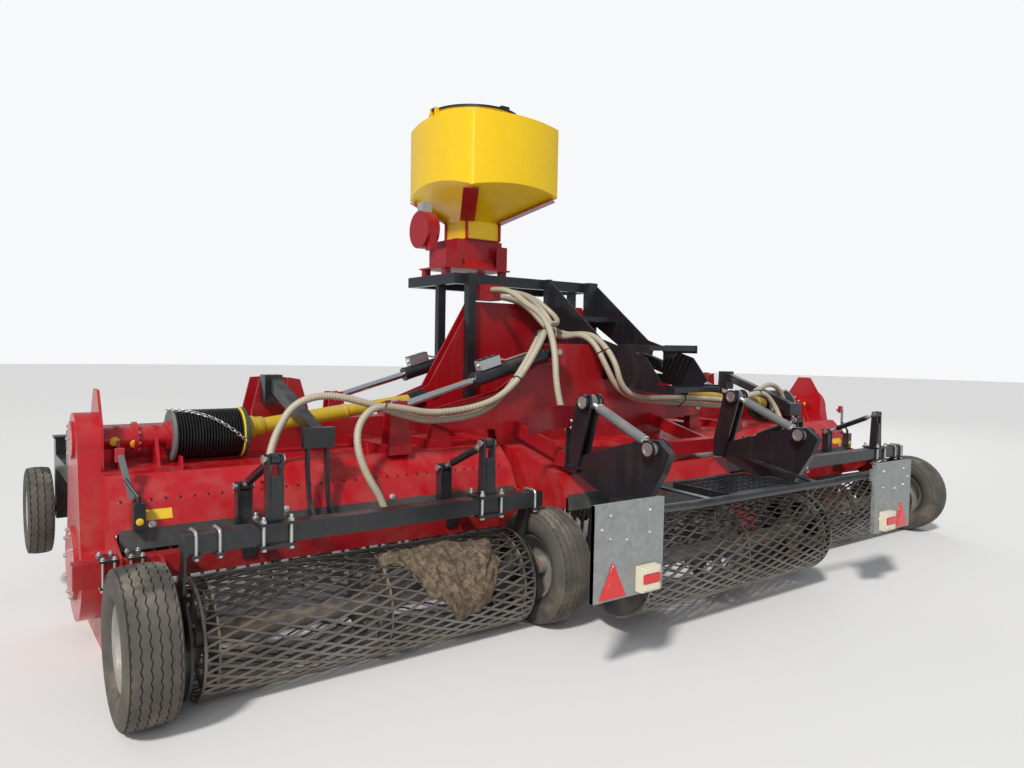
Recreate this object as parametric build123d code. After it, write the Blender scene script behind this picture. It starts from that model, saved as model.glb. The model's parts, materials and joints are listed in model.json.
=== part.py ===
from build123d import *
import os
from math import atan2, cos, degrees, hypot, pi, radians, sin, tan

# A folding stone burier for three beds, with a seeder on its platform.
# Millimetres. X runs to the machine's right as seen from behind, Y forward to the tractor, Z up.
# Every piece is drawn with Y = 0 over the wing wheels' axles and moved to the machine's middle at the end.

# Beds, ends and skids
OUTER_TRACK = 2930.0
INNER_TRACK = 966.0
WING_OUTER_END = 2950.0
WING_INNER_END = 775.0
CENTRE_END = 735.0
END_PLATE = 10.0
SKID_WIDTH = 50.0
SKID_HEIGHT = 20.0

# Hoods, as seen from the side
HOOD_SHEET = 8.0
HOOD_REAR_LOW = (500.0, 620.0)
HOOD_BOLT_LINE = (560.0, 740.0)
HOOD_TOP = 850.0
HOOD_FOLD = (680.0, HOOD_TOP)
HOOD_FRONT_TOP = (1400.0, HOOD_TOP)
HOOD_FRONT_BEND = (1470.0, HOOD_TOP - 105)
HOOD_FRONT_LOW = (1470.0, 520.0)
CENTRE_REAR_REACH = 400.0
FLAP_DROP = 75.0
FLAP_LAP = 15.0

# Rotors and the grids behind them
ROTOR_Y = 980.0
ROTOR_Z = 400.0
ROTOR_RADIUS = 270.0
ROTOR_SHAFT_RADIUS = 70.0
ROTOR_STUB_RADIUS = 35.0
ROTOR_STUB = 33.0
ROTOR_GAP = 25.0
FLANGE_RADIUS = 165.0
FLANGE_THICKNESS = 12.0
FLANGE_PITCH = 235.0
BLADES_PER_FLANGE = 4
BLADE_WIDTH = 60.0
BLADE_THICKNESS = 12.0
BLADE_FOOT = 70.0
TINE_PITCH = 72.0
TINE_THICKNESS = 12.0
TINE_DEPTH = 22.0

# Mesh drums
DRUM_RADIUS = 250.0
DRUM_SIDES = 12
DRUM_SHEET = 6.0
DIAMOND_LENGTH = 190.0
STRAND_WIDTH = 26.0
HUB_WINDOW_AT = 140.0
HUB_WINDOW = 58.0
WING_DRUM_Y = 100.0
WING_DRUM_Z = DRUM_RADIUS
WING_DRUM_OUTER = 2735.0
WING_DRUM_INNER = 1125.0
CENTRE_DRUM_Y = -365.0
CENTRE_DRUM_Z = 345.0
CENTRE_DRUM_HALF = 790.0
DISC_RADIUS = 235.0
DISC_THICKNESS = 10.0
DRUM_SHAFT_RADIUS = 25.0
RUNNING_CLEARANCE = 0.05

# Wheels
TYRE_RADIUS = 305.0
TYRE_WIDTH = 205.0
RIM_RADIUS = 165.0
RIM_WIDTH = 150.0
HUB_RADIUS = 45.0
SPINDLE_RADIUS = 22.0
GAUGE_RADIUS = 250.0
GAUGE_WIDTH = 130.0
GAUGE_X = 3110.0
GAUGE_Y = 2000.0
GAUGE_Z = 470.0

# Rear tube, roller beam and their posts
REAR_TUBE = 100.0
REAR_TUBE_Y = 375.0
REAR_TUBE_Z = 500.0
REAR_TUBE_OUTER = 3120.0
REAR_TUBE_INNER = WING_INNER_END + END_PLATE
BEAM = 80.0
BEAM_Z = 671.0
BEAM_OUTER = 2785.0
BEAM_INNER = 1010.0
POST_X = (2420.0, 1340.0)
LOW_POST_Y = 420.0
LOW_POST_TOP = 820.0
TALL_POST_TOP = 1000.0

# Folding
FOLD_X = 1150.0
FOLD_Z = 1030.0
FOLD_PIN_RADIUS = 25.0
LUG_WIDTH = 60.0
LUG_RADIUS = 52.0
REAR_LUG_Y = 800.0
FRONT_LUG_Y = 1457.0
TOWER_PLATE = 15.0
TOWER_GAP = 70.0
TOWER_TOP = 1780.0
REAR_TOWER_TOP = 1490.0
STAIR_SLOT = 1250.0
CYLINDER_BASE = (350.0, 1436.0)
CYLINDER_EYE = (1490.0, 1110.0)
REAR_CYLINDER_Y = 690.0
FRONT_CYLINDER_Y = 1568.0
BARREL_RADIUS = 45.0
BARREL_BORE = 37.0
BARREL_START = 92.0
BARREL_END = 654.0
VALVE_AT = 520.0
VALVE_BLOCK = (150.0, 60.0, 66.0)
CYLINDER_ROD_RADIUS = 22.0
CYLINDER_SLOPE = degrees(atan2(CYLINDER_BASE[1] - CYLINDER_EYE[1], CYLINDER_EYE[0] - CYLINDER_BASE[0]))
PISTON_AT = 570.0
EYE_WIDTH = 56.0
EYE_RADIUS = 42.0
CYLINDER_PIN_RADIUS = 20.0

# Toolbar and drive
TOOLBAR_REAR = 1230.0
TOOLBAR_FRONT = 1390.0
TOOLBAR_LOW = HOOD_TOP
TOOLBAR_HIGH = HOOD_TOP + 160
RIB_HIGH = HOOD_TOP + 50
CASE_TOP = (980.0, 950.0)
CASE_TOP_RADIUS = 165.0
CASE_LOW_RADIUS = 275.0
CASE_WIDTH = 95.0
DRIVE_Z = 985.0
DRIVE_TUBE_RADIUS = 52.0
DRIVE_TUBE_END = 2620.0
BELLOWS_RADIUS = 128.0
BELLOWS_BORE = 116.0
BELLOWS_END = 2250.0
PTO_PIVOT_X = 1060.0
PTO_PIVOT_Z = 1150.0
PTO_END_X = 2340.0
PTO_GUARD_RADIUS = 42.0
PTO_JOINT_RADIUS = 40.0
PTO_CROSS_PIN = (12.0, 92.0)
TRUMPET_RADIUS = 60.0

# Platform, stairs and seeder
DECK_LOW = 1900.0
DECK_HIGH = 1975.0
DECK_LEFT = -670.0
DECK_RIGHT = 640.0
DECK_REAR = FRONT_LUG_Y - TOWER_GAP / 2 - TOWER_PLATE
DECK_FRONT = 2080.0
STAIR_LEFT = 160.0
STAIR_RIGHT = 630.0
TREAD_BARS = 7
BASE_Z = 2045.0
TANK_LEFT = -580.0
TANK_RIGHT = 200.0
TANK_REAR = 1350.0
TANK_FRONT = 2235.0
TANK_LOW = 2590.0
TANK_HIGH = 3090.0
TANK_BOW = 70.0
TANK_CORNER = 45.0
TANK_WALL = 8.0
SHOULDER = 60.0
SHOULDER_RADIUS = 720.0
NECK_X = -245.0
NECK_Y = 1840.0
NECK_LOW = 2270.0
NECK_HIGH = 2405.0
NECK = 283.0
LID_RADIUS = 335.0
LID_RING = 50.0
LID_Z = TANK_HIGH + SHOULDER + LID_RING
STRAP_WIDTH = 110.0
STRAP_THICKNESS = 8.0
HOSE_RADIUS = 20.0
SOCKET_RADIUS = 26.0
SOCKET_LENGTH = 42.0
MANIFOLD_X = -330.0
MANIFOLD_REAR = 1330.0
LID_PIN_RADIUS = 6.0

# Centre bed and crossbeam
BED_TOP = HOOD_TOP + 15
CROSSBEAM_FRONT = 1670.0

# Hitch
HITCH_SPREAD = 965.0
HITCH_HOLE_RADIUS = 18.5
HITCH_GAP = 60.0
HITCH_PLATE = 15.0
HITCH_Y = 2250.0
HITCH_Z = 640.0
TOP_LINK_Z = 1325.0
TOP_LINK_Y = 2180.0
TOP_HOLE_RADIUS = 16.2
PTO_INPUT_RADIUS = 22.2
PTO_INPUT_Z = 1080.0

nodes = {}


def box(x_range, y_range, z_range):
    """A block between two values on each axis."""
    sizes = [high - low for low, high in (x_range, y_range, z_range)]
    middle = [(low + high) / 2 for low, high in (x_range, y_range, z_range)]
    return Pos(*middle) * Box(*sizes)


def plane_x(x):
    """A plane that faces +X, where an outline is given as (Y, Z)."""
    return Plane(origin=(x, 0, 0), x_dir=(0, 1, 0), z_dir=(1, 0, 0))


def plane_y(y):
    """A plane whose outline is given as (X, Z) and whose thickness goes to -Y."""
    return Plane(origin=(0, y, 0), x_dir=(1, 0, 0), z_dir=(0, -1, 0))


def plane_z(z):
    """A level plane, where an outline is given as (X, Y)."""
    return Plane(origin=(0, 0, z), x_dir=(1, 0, 0), z_dir=(0, 0, 1))


def plate(plane, outline, thickness, holes=(), corner=0.0):
    """A flat plate with an outline, round holes (u, v, radius) and rounded corners."""
    face = Polygon(*outline, align=None)
    if corner:
        face = fillet(face.vertices(), corner)
    for u, v, radius in holes:
        face -= Pos(u, v) * Circle(radius)
    return extrude(plane * face, amount=thickness, dir=plane.z_dir)


def plate_along_y(y_range, outline, holes=(), corner=0.0):
    """A plate whose outline is (X, Z), between two values of Y."""
    return plate(plane_y(y_range[1]), outline, y_range[1] - y_range[0], holes, corner)


def plate_along_x(x_range, outline, holes=(), corner=0.0):
    """A plate whose outline is (Y, Z), between two values of X."""
    return plate(plane_x(x_range[0]), outline, x_range[1] - x_range[0], holes, corner)


def round_bar(start, end, radius, bore=0.0):
    """A round bar or tube from one point to another."""
    start, end = Vector(*start), Vector(*end)
    ring = Circle(radius)
    if bore:
        ring -= Circle(bore)
    return extrude(Plane(origin=start, z_dir=end - start) * ring, amount=(end - start).length)


def square_bar(start, end, width, depth):
    """A flat or square bar from one point to another, its width level."""
    start, end = Vector(*start), Vector(*end)
    along = (end - start).normalized()
    level = Vector(0, 0, 1).cross(along)
    plane = Plane(origin=start, x_dir=level, z_dir=along)
    return extrude(plane * Rectangle(width, depth), amount=(end - start).length)


def thick_line(points, thickness):
    """The closed outline of a bent sheet, its thickness to the right of the way it runs."""
    inner = []
    for index, point in enumerate(points):
        before = points[max(index - 1, 0)]
        after = points[min(index + 1, len(points) - 1)]
        turns = [(a, b) for a, b in ((before, point), (point, after)) if a != b]
        normals = []
        for a, b in turns:
            length = hypot(b[0] - a[0], b[1] - a[1])
            normals.append(((b[1] - a[1]) / length, -(b[0] - a[0]) / length))
        mean = (sum(n[0] for n in normals) / len(normals), sum(n[1] for n in normals) / len(normals))
        scale = thickness / (mean[0] ** 2 + mean[1] ** 2)
        inner.append((point[0] + mean[0] * scale, point[1] + mean[1] * scale))
    return list(points) + inner[::-1]


def mirrored(shape):
    """The same piece on the machine's other side."""
    return mirror(shape, about=Plane.YZ)


def both_sides(name, left_shape):
    """Keep a wing's piece as a left and a right node."""
    nodes[name + "_left"] = left_shape
    nodes[name + "_right"] = mirrored(left_shape)


def hood_line(rear_reach=0.0):
    """The hood's outline from its rear edge over the top to its front edge."""
    rear = [(HOOD_REAR_LOW[0] - rear_reach, HOOD_REAR_LOW[1]),
            (HOOD_BOLT_LINE[0] - rear_reach, HOOD_BOLT_LINE[1])]
    return rear + [HOOD_FOLD, HOOD_FRONT_TOP, HOOD_FRONT_BEND, HOOD_FRONT_LOW]


def hood(left, right, rear_reach=0.0, ears_at=()):
    """A bent hood sheet between two end plates, with its rubber flap and lifting ears."""
    line = hood_line(rear_reach)
    sheet = plate_along_x((left, right), thick_line(line, HOOD_SHEET))
    flap_top = (line[0][0] + HOOD_SHEET, line[0][1] + FLAP_LAP)
    flap = [flap_top, (line[0][0] - 6, line[0][1] - FLAP_DROP)]
    rubber = plate_along_x((left + 15, right - 15), thick_line(flap, 7))
    ears = []
    for share in ears_at:
        x = left + (right - left) * share
        ear = [(720, HOOD_TOP), (780, HOOD_TOP), (770, HOOD_TOP + 60), (730, HOOD_TOP + 60)]
        ears.append(plate_along_x((x - 6, x + 6), ear, [(750, HOOD_TOP + 37, 11)]))
    return (sheet + ears if ears else sheet), rubber - sheet


def end_plate(x_range, skid_range, rear_reach=0.0, tail=True):
    """An end plate that closes a hood's side, carries the rotor's bearing and ends in its skid."""
    line = hood_line(rear_reach)
    low = [(1470, 300), (1390, 130), (1310, SKID_HEIGHT), (740, SKID_HEIGHT), (620, 120), (560, 420)]
    if tail:
        back = REAR_TUBE_Y - REAR_TUBE / 2
        low += [(REAR_TUBE_Y + 60, 430), (back, 440), (back, 560)]
    else:
        low += [(HOOD_REAR_LOW[0] - rear_reach, 560)]
    wall = plate_along_x(x_range, line + low, [(ROTOR_Y, ROTOR_Z, ROTOR_STUB_RADIUS + RUNNING_CLEARANCE)])
    skid = box(skid_range, (760, 1310), (0, SKID_HEIGHT))
    nose = [(1310, 0), (1310, SKID_HEIGHT), (1390, 150), (1404, 143), (1322, 0)]
    return wall + skid + plate_along_x(skid_range, nose)


def rotor(left, right):
    """A shaft with bolted flanges, each with bent blades, and a stub at both ends."""
    shaft = round_bar((left, ROTOR_Y, ROTOR_Z), (right, ROTOR_Y, ROTOR_Z), ROTOR_SHAFT_RADIUS)
    for x, end in ((left, left - ROTOR_STUB), (right, right + ROTOR_STUB)):
        shaft += round_bar((x, ROTOR_Y, ROTOR_Z), (end, ROTOR_Y, ROTOR_Z), ROTOR_STUB_RADIUS)
    count = int((right - left - 160) / FLANGE_PITCH) + 1
    first = (left + right) / 2 - (count - 1) * FLANGE_PITCH / 2
    for index in range(count):
        x = first + index * FLANGE_PITCH
        flange = extrude(plane_x(x) * Pos(ROTOR_Y, ROTOR_Z) * RegularPolygon(FLANGE_RADIUS, 8),
                         amount=FLANGE_THICKNESS)
        shaft += flange
        for blade in range(BLADES_PER_FLANGE):
            side = 1 if blade % 2 == 0 else -1
            turn = 360 / BLADES_PER_FLANGE * blade + 31 * index
            near = x + FLANGE_THICKNESS if side > 0 else x
            web = box((near, near + side * BLADE_THICKNESS) if side > 0 else (near - BLADE_THICKNESS, near),
                      (-BLADE_WIDTH / 2, BLADE_WIDTH / 2), (90, ROTOR_RADIUS - 3))
            reach = sorted((near, near + side * BLADE_FOOT))
            foot = box(reach, (-BLADE_WIDTH / 2, BLADE_WIDTH / 2),
                       (ROTOR_RADIUS - 3 - BLADE_THICKNESS, ROTOR_RADIUS - 3))
            shaft += Pos(0, ROTOR_Y, ROTOR_Z) * Rot(turn, 0, 0) * (web + foot)
    return shaft


def comb(left, right):
    """The grid of hanging tines behind a rotor, on its bar."""
    bar = box((left, right), (680, 728), (770, 818))
    count = int((right - left - 60) / TINE_PITCH) + 1
    first = (left + right) / 2 - (count - 1) * TINE_PITCH / 2
    line = [(704, 780), (632, 560), (668, 190)]
    for index in range(count):
        x = first + index * TINE_PITCH
        bar += plate_along_x((x - TINE_THICKNESS / 2, x + TINE_THICKNESS / 2), thick_line(line, TINE_DEPTH))
    return bar


def drum(left, right, y, z):
    """A drum of expanded mesh on spoked hubs and a shaft."""
    outer = RegularPolygon(DRUM_RADIUS, DRUM_SIDES)
    inner = RegularPolygon(DRUM_RADIUS - DRUM_SHEET / cos(pi / DRUM_SIDES), DRUM_SIDES)
    shell = extrude(plane_x(left) * (outer - inner), amount=right - left)
    side = 2 * DRUM_RADIUS * sin(pi / DRUM_SIDES)
    count = int((right - left - STRAND_WIDTH) / DIAMOND_LENGTH)
    first = (left + right) / 2 - (count - 1) * DIAMOND_LENGTH / 2
    half_long = DIAMOND_LENGTH / 2 - STRAND_WIDTH / 2
    half_high = side / 2 - STRAND_WIDTH / 3
    cutters = []
    for panel in range(DRUM_SIDES // 2):
        shift = 0 if panel % 2 == 0 else DIAMOND_LENGTH / 2
        for index in range(count if panel % 2 == 0 else count - 1):
            x = first + shift + index * DIAMOND_LENGTH
            diamond = Polygon((-half_long, 0), (0, -half_high), (half_long, 0), (0, half_high), align=None)
            cutter = extrude(Plane(origin=(x, 0, -DRUM_RADIUS - 20), x_dir=(1, 0, 0),
                                   z_dir=(0, 0, 1)) * diamond,
                             amount=2 * DRUM_RADIUS + 40)
            cutters.append(Rot((panel + 0.5) * 360 / DRUM_SIDES, 0, 0) * cutter)
    shell -= cutters
    shaft = round_bar((left - 40, 0, 0), (right + 40, 0, 0), DRUM_SHAFT_RADIUS)
    hubs = []
    for x in (left + 60, (left + right) / 2, right - 60):
        face = inner
        for turn in range(6):
            face -= Rot(0, 0, turn * 60) * Pos(HUB_WINDOW_AT, 0) * Circle(HUB_WINDOW)
        hubs.append(extrude(plane_x(x - 4) * face, amount=8))
    body = shell + shaft + hubs
    return Pos(0, y, z) * body


def side_disc(x_range, y, z, top):
    """A round plate that holds a drum's shaft, with a neck up to the beam."""
    disc = plate_along_x(x_range, [(y - 60, z), (y + 60, z), (-BEAM / 2 + 70, top), (-BEAM / 2 + 5, top)])
    disc += extrude(plane_x(x_range[0]) * Pos(y, z) * Circle(DISC_RADIUS), amount=x_range[1] - x_range[0])
    hole = extrude(plane_x(x_range[0]) * Pos(y, z) * Circle(DRUM_SHAFT_RADIUS + RUNNING_CLEARANCE),
                   amount=x_range[1] - x_range[0])
    return disc - hole


def tyre(x, y, z, radius, width, rim):
    """A tyre as one ring with rounded shoulders and beads on the rim."""
    half = width / 2
    outline = [(rim, -half * 0.62), (rim + 18, -half * 0.9), ((radius + rim) / 2, -half),
               (radius - 28, -half * 0.93),
               (radius - 6, -half * 0.72), (radius, -half * 0.4)]
    outline += [(r, -u) for r, u in reversed(outline)]
    ring = revolve(Plane.XY * Polygon(*outline, align=None), axis=Axis.Y)
    return Pos(x, y, z) * Rot(0, 0, 90) * ring


def rim(x, y, z, radius, width, side):
    """A dished steel rim with its hub, open towards the side it is mounted from."""
    half = width / 2
    outline = [(radius - 0.3, -half), (radius - 0.3, half), (radius - 14, half), (radius - 22, half * 0.7),
               (radius - 30, half * 0.2), (radius - 70, -half * 0.05), (HUB_RADIUS + 22, half * 0.1),
               (HUB_RADIUS, half * 0.1), (HUB_RADIUS, half * 0.65),
               (SPINDLE_RADIUS + RUNNING_CLEARANCE, half * 0.65),
               (SPINDLE_RADIUS + RUNNING_CLEARANCE, -half * 0.6), (HUB_RADIUS, -half * 0.6),
               (HUB_RADIUS, -half * 0.1),
               (HUB_RADIUS + 22, -half * 0.1), (radius - 70, -half * 0.25), (radius - 38, 0),
               (radius - 30, -half * 0.7),
               (radius - 14, -half)]
    ring = revolve(Plane.XY * Polygon(*outline, align=None), axis=Axis.Y)
    return Pos(x, y, z) * Rot(0, 0, 90 if side < 0 else -90) * ring


def wheel_arm(x_range, wheel_x, tube_y, tube_z):
    """A plate from the rear tube to a wheel's axle, with the spindle."""
    low, high = tube_z - REAR_TUBE / 2, tube_z + REAR_TUBE / 2
    back = tube_y - REAR_TUBE / 2
    outline = [(back, high), (back, low), (60, TYRE_RADIUS - 55), (0, TYRE_RADIUS - 70),
               (-55, TYRE_RADIUS - 10),
               (-50, TYRE_RADIUS + 45), (60, TYRE_RADIUS + 120), (back - 60, high)]
    arm = plate_along_x(x_range, outline)
    reach = wheel_x + (60 if wheel_x > x_range[1] else -60)
    near = x_range[1] if wheel_x > x_range[1] else x_range[0]
    return arm + round_bar((near, 0, TYRE_RADIUS), (reach, 0, TYRE_RADIUS), SPINDLE_RADIUS)


def along_cylinder(distance, y):
    """A point on the left fold cylinder's line, counted from its base pin."""
    share = distance / cylinder_length()
    x = CYLINDER_BASE[0] + (CYLINDER_EYE[0] - CYLINDER_BASE[0]) * share
    z = CYLINDER_BASE[1] + (CYLINDER_EYE[1] - CYLINDER_BASE[1]) * share
    return (-x, y, z)


def cylinder_length():
    """The distance from base pin to rod eye at rest."""
    return hypot(CYLINDER_EYE[0] - CYLINDER_BASE[0], CYLINDER_EYE[1] - CYLINDER_BASE[1])


# Wing hoods with their end plates
left, right = -WING_OUTER_END + END_PLATE, -WING_INNER_END - END_PLATE
sheet, rubber = hood(left, right, ears_at=(0.15, 0.6))
both_sides("wing_hood", sheet + end_plate((-WING_OUTER_END, left),
                                          (-WING_OUTER_END, -WING_OUTER_END + SKID_WIDTH))
           + end_plate((right, -WING_INNER_END), (-WING_INNER_END - SKID_WIDTH, -WING_INNER_END)))
both_sides("wing_flap", rubber)
both_sides("wing_comb", comb(left, right))
both_sides("wing_rotor", rotor(left + ROTOR_GAP, right - ROTOR_GAP))

# Wing frames: toolbar, ribs, hinge lugs, cylinder brackets, ears, rear tube and wheel arms
frame = box((-WING_OUTER_END, -800), (TOOLBAR_REAR, TOOLBAR_FRONT), (TOOLBAR_LOW, TOOLBAR_HIGH))
frame += box((-FOLD_X - 70, -FOLD_X + 70), (REAR_LUG_Y - 40, FRONT_LUG_Y + 40), (TOOLBAR_LOW, RIB_HIGH))
frame += box((-CYLINDER_EYE[0] - 70, -CYLINDER_EYE[0] + 70), (REAR_CYLINDER_Y - 60, FRONT_CYLINDER_Y + 60),
             (TOOLBAR_LOW, RIB_HIGH))
for lug_y in (REAR_LUG_Y, FRONT_LUG_Y):
    lug = [(-FOLD_X - 60, RIB_HIGH), (-FOLD_X + 60, RIB_HIGH), (-FOLD_X + LUG_RADIUS, FOLD_Z),
           (-FOLD_X - LUG_RADIUS, FOLD_Z)]
    span = (lug_y - LUG_WIDTH / 2, lug_y + LUG_WIDTH / 2)
    solid = plate_along_y(span, lug) + round_bar((-FOLD_X, span[0], FOLD_Z), (-FOLD_X, span[1], FOLD_Z),
                                                 LUG_RADIUS)
    frame += solid - round_bar((-FOLD_X, span[0], FOLD_Z), (-FOLD_X, span[1], FOLD_Z),
                               FOLD_PIN_RADIUS + RUNNING_CLEARANCE)
for cylinder_y in (REAR_CYLINDER_Y, FRONT_CYLINDER_Y):
    x, z = -CYLINDER_EYE[0], CYLINDER_EYE[1]
    bracket = [(x - 70, RIB_HIGH), (x + 70, RIB_HIGH), (x + 45, z + 40), (x - 45, z + 40)]
    for side in (-1, 1):
        edge = cylinder_y + side * (EYE_WIDTH / 2 + 8)
        span = (min(edge, edge + side * 12), max(edge, edge + side * 12))
        frame += plate_along_y(span, bracket, [(x, z, CYLINDER_PIN_RADIUS)])
for ear_y in ((TOOLBAR_REAR - 15, TOOLBAR_REAR), (TOOLBAR_FRONT, TOOLBAR_FRONT + 15)):
    ear = [(-2150, TOOLBAR_LOW), (-1780, TOOLBAR_LOW), (-1800, 1080), (-1850, 1250), (-1920, 1262),
           (-1935, 1110),
           (-1990, 1110), (-2010, 1262), (-2085, 1258), (-2130, 1080)]
    frame += plate_along_y(ear_y, ear)
tube_low, tube_high = REAR_TUBE_Z - REAR_TUBE / 2, REAR_TUBE_Z + REAR_TUBE / 2
frame += box((-REAR_TUBE_OUTER, -REAR_TUBE_INNER),
             (REAR_TUBE_Y - REAR_TUBE / 2 + 10, REAR_TUBE_Y + REAR_TUBE / 2 - 10), (tube_low, tube_high))
frame += wheel_arm((-2803, -2788), -OUTER_TRACK, REAR_TUBE_Y + 10, REAR_TUBE_Z)
frame += wheel_arm((-845, -830), -INNER_TRACK, REAR_TUBE_Y + 10, REAR_TUBE_Z)
beam_bracket = [(REAR_TUBE_Y - 40, tube_low + 10), (REAR_TUBE_Y - 40, tube_high), (BEAM / 2, BEAM_Z + 38),
                (BEAM / 2, BEAM_Z - 38)]
frame += plate_along_x((-2728, -2712), beam_bracket)
frame -= box((-WING_OUTER_END, -WING_OUTER_END + END_PLATE), (300, 440), (400, 600))
frame -= box((-WING_INNER_END - END_PLATE, -WING_INNER_END), (300, 440), (400, 600))
both_sides("wing_frame", frame)

# Side drive: case, cover, cross tube and its feet
case = plate_along_x((-WING_OUTER_END - CASE_WIDTH, -WING_OUTER_END),
                     [(ROTOR_Y - CASE_LOW_RADIUS, ROTOR_Z), (ROTOR_Y + CASE_LOW_RADIUS, ROTOR_Z),
                      (CASE_TOP[0] + CASE_TOP_RADIUS, CASE_TOP[1]),
                      (CASE_TOP[0] - CASE_TOP_RADIUS, CASE_TOP[1])])
for centre, radius in (((ROTOR_Y, ROTOR_Z), CASE_LOW_RADIUS), (CASE_TOP, CASE_TOP_RADIUS)):
    case += extrude(plane_x(-WING_OUTER_END - CASE_WIDTH) * Pos(*centre) * Circle(radius), amount=CASE_WIDTH)
case += round_bar((-WING_OUTER_END - CASE_WIDTH - 18, ROTOR_Y, ROTOR_Z),
                  (-WING_OUTER_END - CASE_WIDTH, ROTOR_Y, ROTOR_Z), 175)
case += round_bar((-WING_OUTER_END - CASE_WIDTH - 12, ROTOR_Y, DRIVE_Z),
                  (-WING_OUTER_END - CASE_WIDTH, ROTOR_Y, DRIVE_Z), 90)
case += round_bar((-WING_OUTER_END, ROTOR_Y, DRIVE_Z), (-DRIVE_TUBE_END, ROTOR_Y, DRIVE_Z), DRIVE_TUBE_RADIUS)
for x in (-WING_OUTER_END, -DRIVE_TUBE_END - 20, -2790):
    case += round_bar((x, ROTOR_Y, DRIVE_Z), (x + 20, ROTOR_Y, DRIVE_Z), 76)
foot = [(ROTOR_Y - 110, HOOD_FOLD[1]), (ROTOR_Y + 110, HOOD_FOLD[1]), (ROTOR_Y + 30, DRIVE_Z + 60),
        (ROTOR_Y - 30, DRIVE_Z + 60)]
for x in (-2690, -2860):
    case += plate_along_x((x - 8, x + 8), foot)
flange = [(ROTOR_Y - 175, HOOD_TOP), (ROTOR_Y + 175, HOOD_TOP), (ROTOR_Y + 175, 1050), (ROTOR_Y + 60, 1225),
          (ROTOR_Y - 60, 1225), (ROTOR_Y - 175, 1050)]
case += plate_along_x((-WING_OUTER_END, -WING_OUTER_END + 12), flange)
both_sides("side_drive", case)

bellows = round_bar((-DRIVE_TUBE_END, ROTOR_Y, DRIVE_Z), (-BELLOWS_END, ROTOR_Y, DRIVE_Z), BELLOWS_RADIUS,
                    BELLOWS_BORE)
bellows += round_bar((-DRIVE_TUBE_END, ROTOR_Y, DRIVE_Z), (-DRIVE_TUBE_END + 14, ROTOR_Y, DRIVE_Z),
                     BELLOWS_RADIUS, 30)
for x in (-DRIVE_TUBE_END + 10, -BELLOWS_END - 24):
    bellows += round_bar((x, ROTOR_Y, DRIVE_Z), (x + 12, ROTOR_Y, DRIVE_Z), BELLOWS_RADIUS + 5, BELLOWS_BORE)
both_sides("drive_bellows", bellows)

# Drive shaft to the wing, with its guard cones
pivot = Vector(-PTO_PIVOT_X, ROTOR_Y, PTO_PIVOT_Z)
pto_end = Vector(-PTO_END_X, ROTOR_Y, DRIVE_Z + 4)
reach = (pto_end - pivot).normalized()
guard = Pos(*pivot) * Sphere(PTO_JOINT_RADIUS)
guard += round_bar(pivot, pto_end, 20)
guard += round_bar(pivot + reach * 170, pto_end, PTO_GUARD_RADIUS)
cone = Plane(origin=pivot + reach * 95, z_dir=reach)
guard += loft([cone * Circle(72), cone.offset(110) * Circle(46)])
cross_pin = Vector(0, PTO_CROSS_PIN[1] / 2, 0)
guard += round_bar(pivot - cross_pin, pivot + cross_pin, PTO_CROSS_PIN[0])
both_sides("pto_guard", guard)

# Roller beam with its posts, arms, side discs and clamps
beam_low, beam_high = BEAM_Z - BEAM / 2, BEAM_Z + BEAM / 2
beam = box((-BEAM_OUTER, -BEAM_INNER), (-BEAM / 2, BEAM / 2), (beam_low, beam_high))
for x in POST_X:
    beam += box((-x - 40, -x + 40), (-32, 32), (beam_high, beam_high + 12))
    for side in (-1, 1):
        tall = [(-32, beam_high), (32, beam_high), (22, TALL_POST_TOP), (-22, TALL_POST_TOP)]
        edge = -x + side * 28
        beam += plate_along_x((edge - 6, edge + 6), tall)
    beam += box((-x - 22, -x + 22), (-32, -22), (beam_high, TALL_POST_TOP - 90))
    beam += box((-x - 30, -x + 30), (0, REAR_TUBE_Y - REAR_TUBE / 2 + 10), (beam_low - 35, beam_low))
    beam += box((-x - 34, -x + 34), (LOW_POST_Y - 30, LOW_POST_Y + 10), (tube_high, LOW_POST_TOP - 40))
    for side in (-1, 1):
        edge = -x + side * 28
        beam += box((edge - 6, edge + 6), (LOW_POST_Y - 34, LOW_POST_Y + 20), (tube_high, LOW_POST_TOP))
    beam += box((-x - 45, -x + 45), (REAR_TUBE_Y - 55, LOW_POST_Y + 30), (tube_high, tube_high + 12))
    beam += box((-x - 30, -x + 30), (REAR_TUBE_Y - REAR_TUBE / 2 - 4, REAR_TUBE_Y - REAR_TUBE / 2 + 9.5),
                (tube_high - 60, beam_low))
for x_range in ((-BEAM_OUTER + 5, -BEAM_OUTER + 5 + DISC_THICKNESS), (-1105, -1105 + DISC_THICKNESS)):
    beam += side_disc(x_range, WING_DRUM_Y, WING_DRUM_Z, beam_low + 20)

# Adjusting struts from the low posts to the tall posts
struts = []
for x in POST_X:
    low_end, high_end = Vector(-x, LOW_POST_Y - 10, LOW_POST_TOP - 20), Vector(-x, 0, TALL_POST_TOP - 20)
    way = (high_end - low_end).normalized()
    struts.append(round_bar(low_end, high_end, 11) + round_bar(low_end + way * 90, high_end - way * 90, 20)
                  + round_bar(low_end + Vector(-46, 0, 0), low_end + Vector(46, 0, 0), 12)
                  + round_bar(high_end + Vector(-46, 0, 0), high_end + Vector(46, 0, 0), 12))
strut_set = struts[0] + struts[1]
both_sides("beam_struts", strut_set)
both_sides("roller_beam", beam - strut_set)

# Drums
both_sides("wing_drum", drum(-WING_DRUM_OUTER, -WING_DRUM_INNER, WING_DRUM_Y, WING_DRUM_Z))
nodes["centre_drum"] = drum(-CENTRE_DRUM_HALF, CENTRE_DRUM_HALF, CENTRE_DRUM_Y, CENTRE_DRUM_Z)

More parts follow.
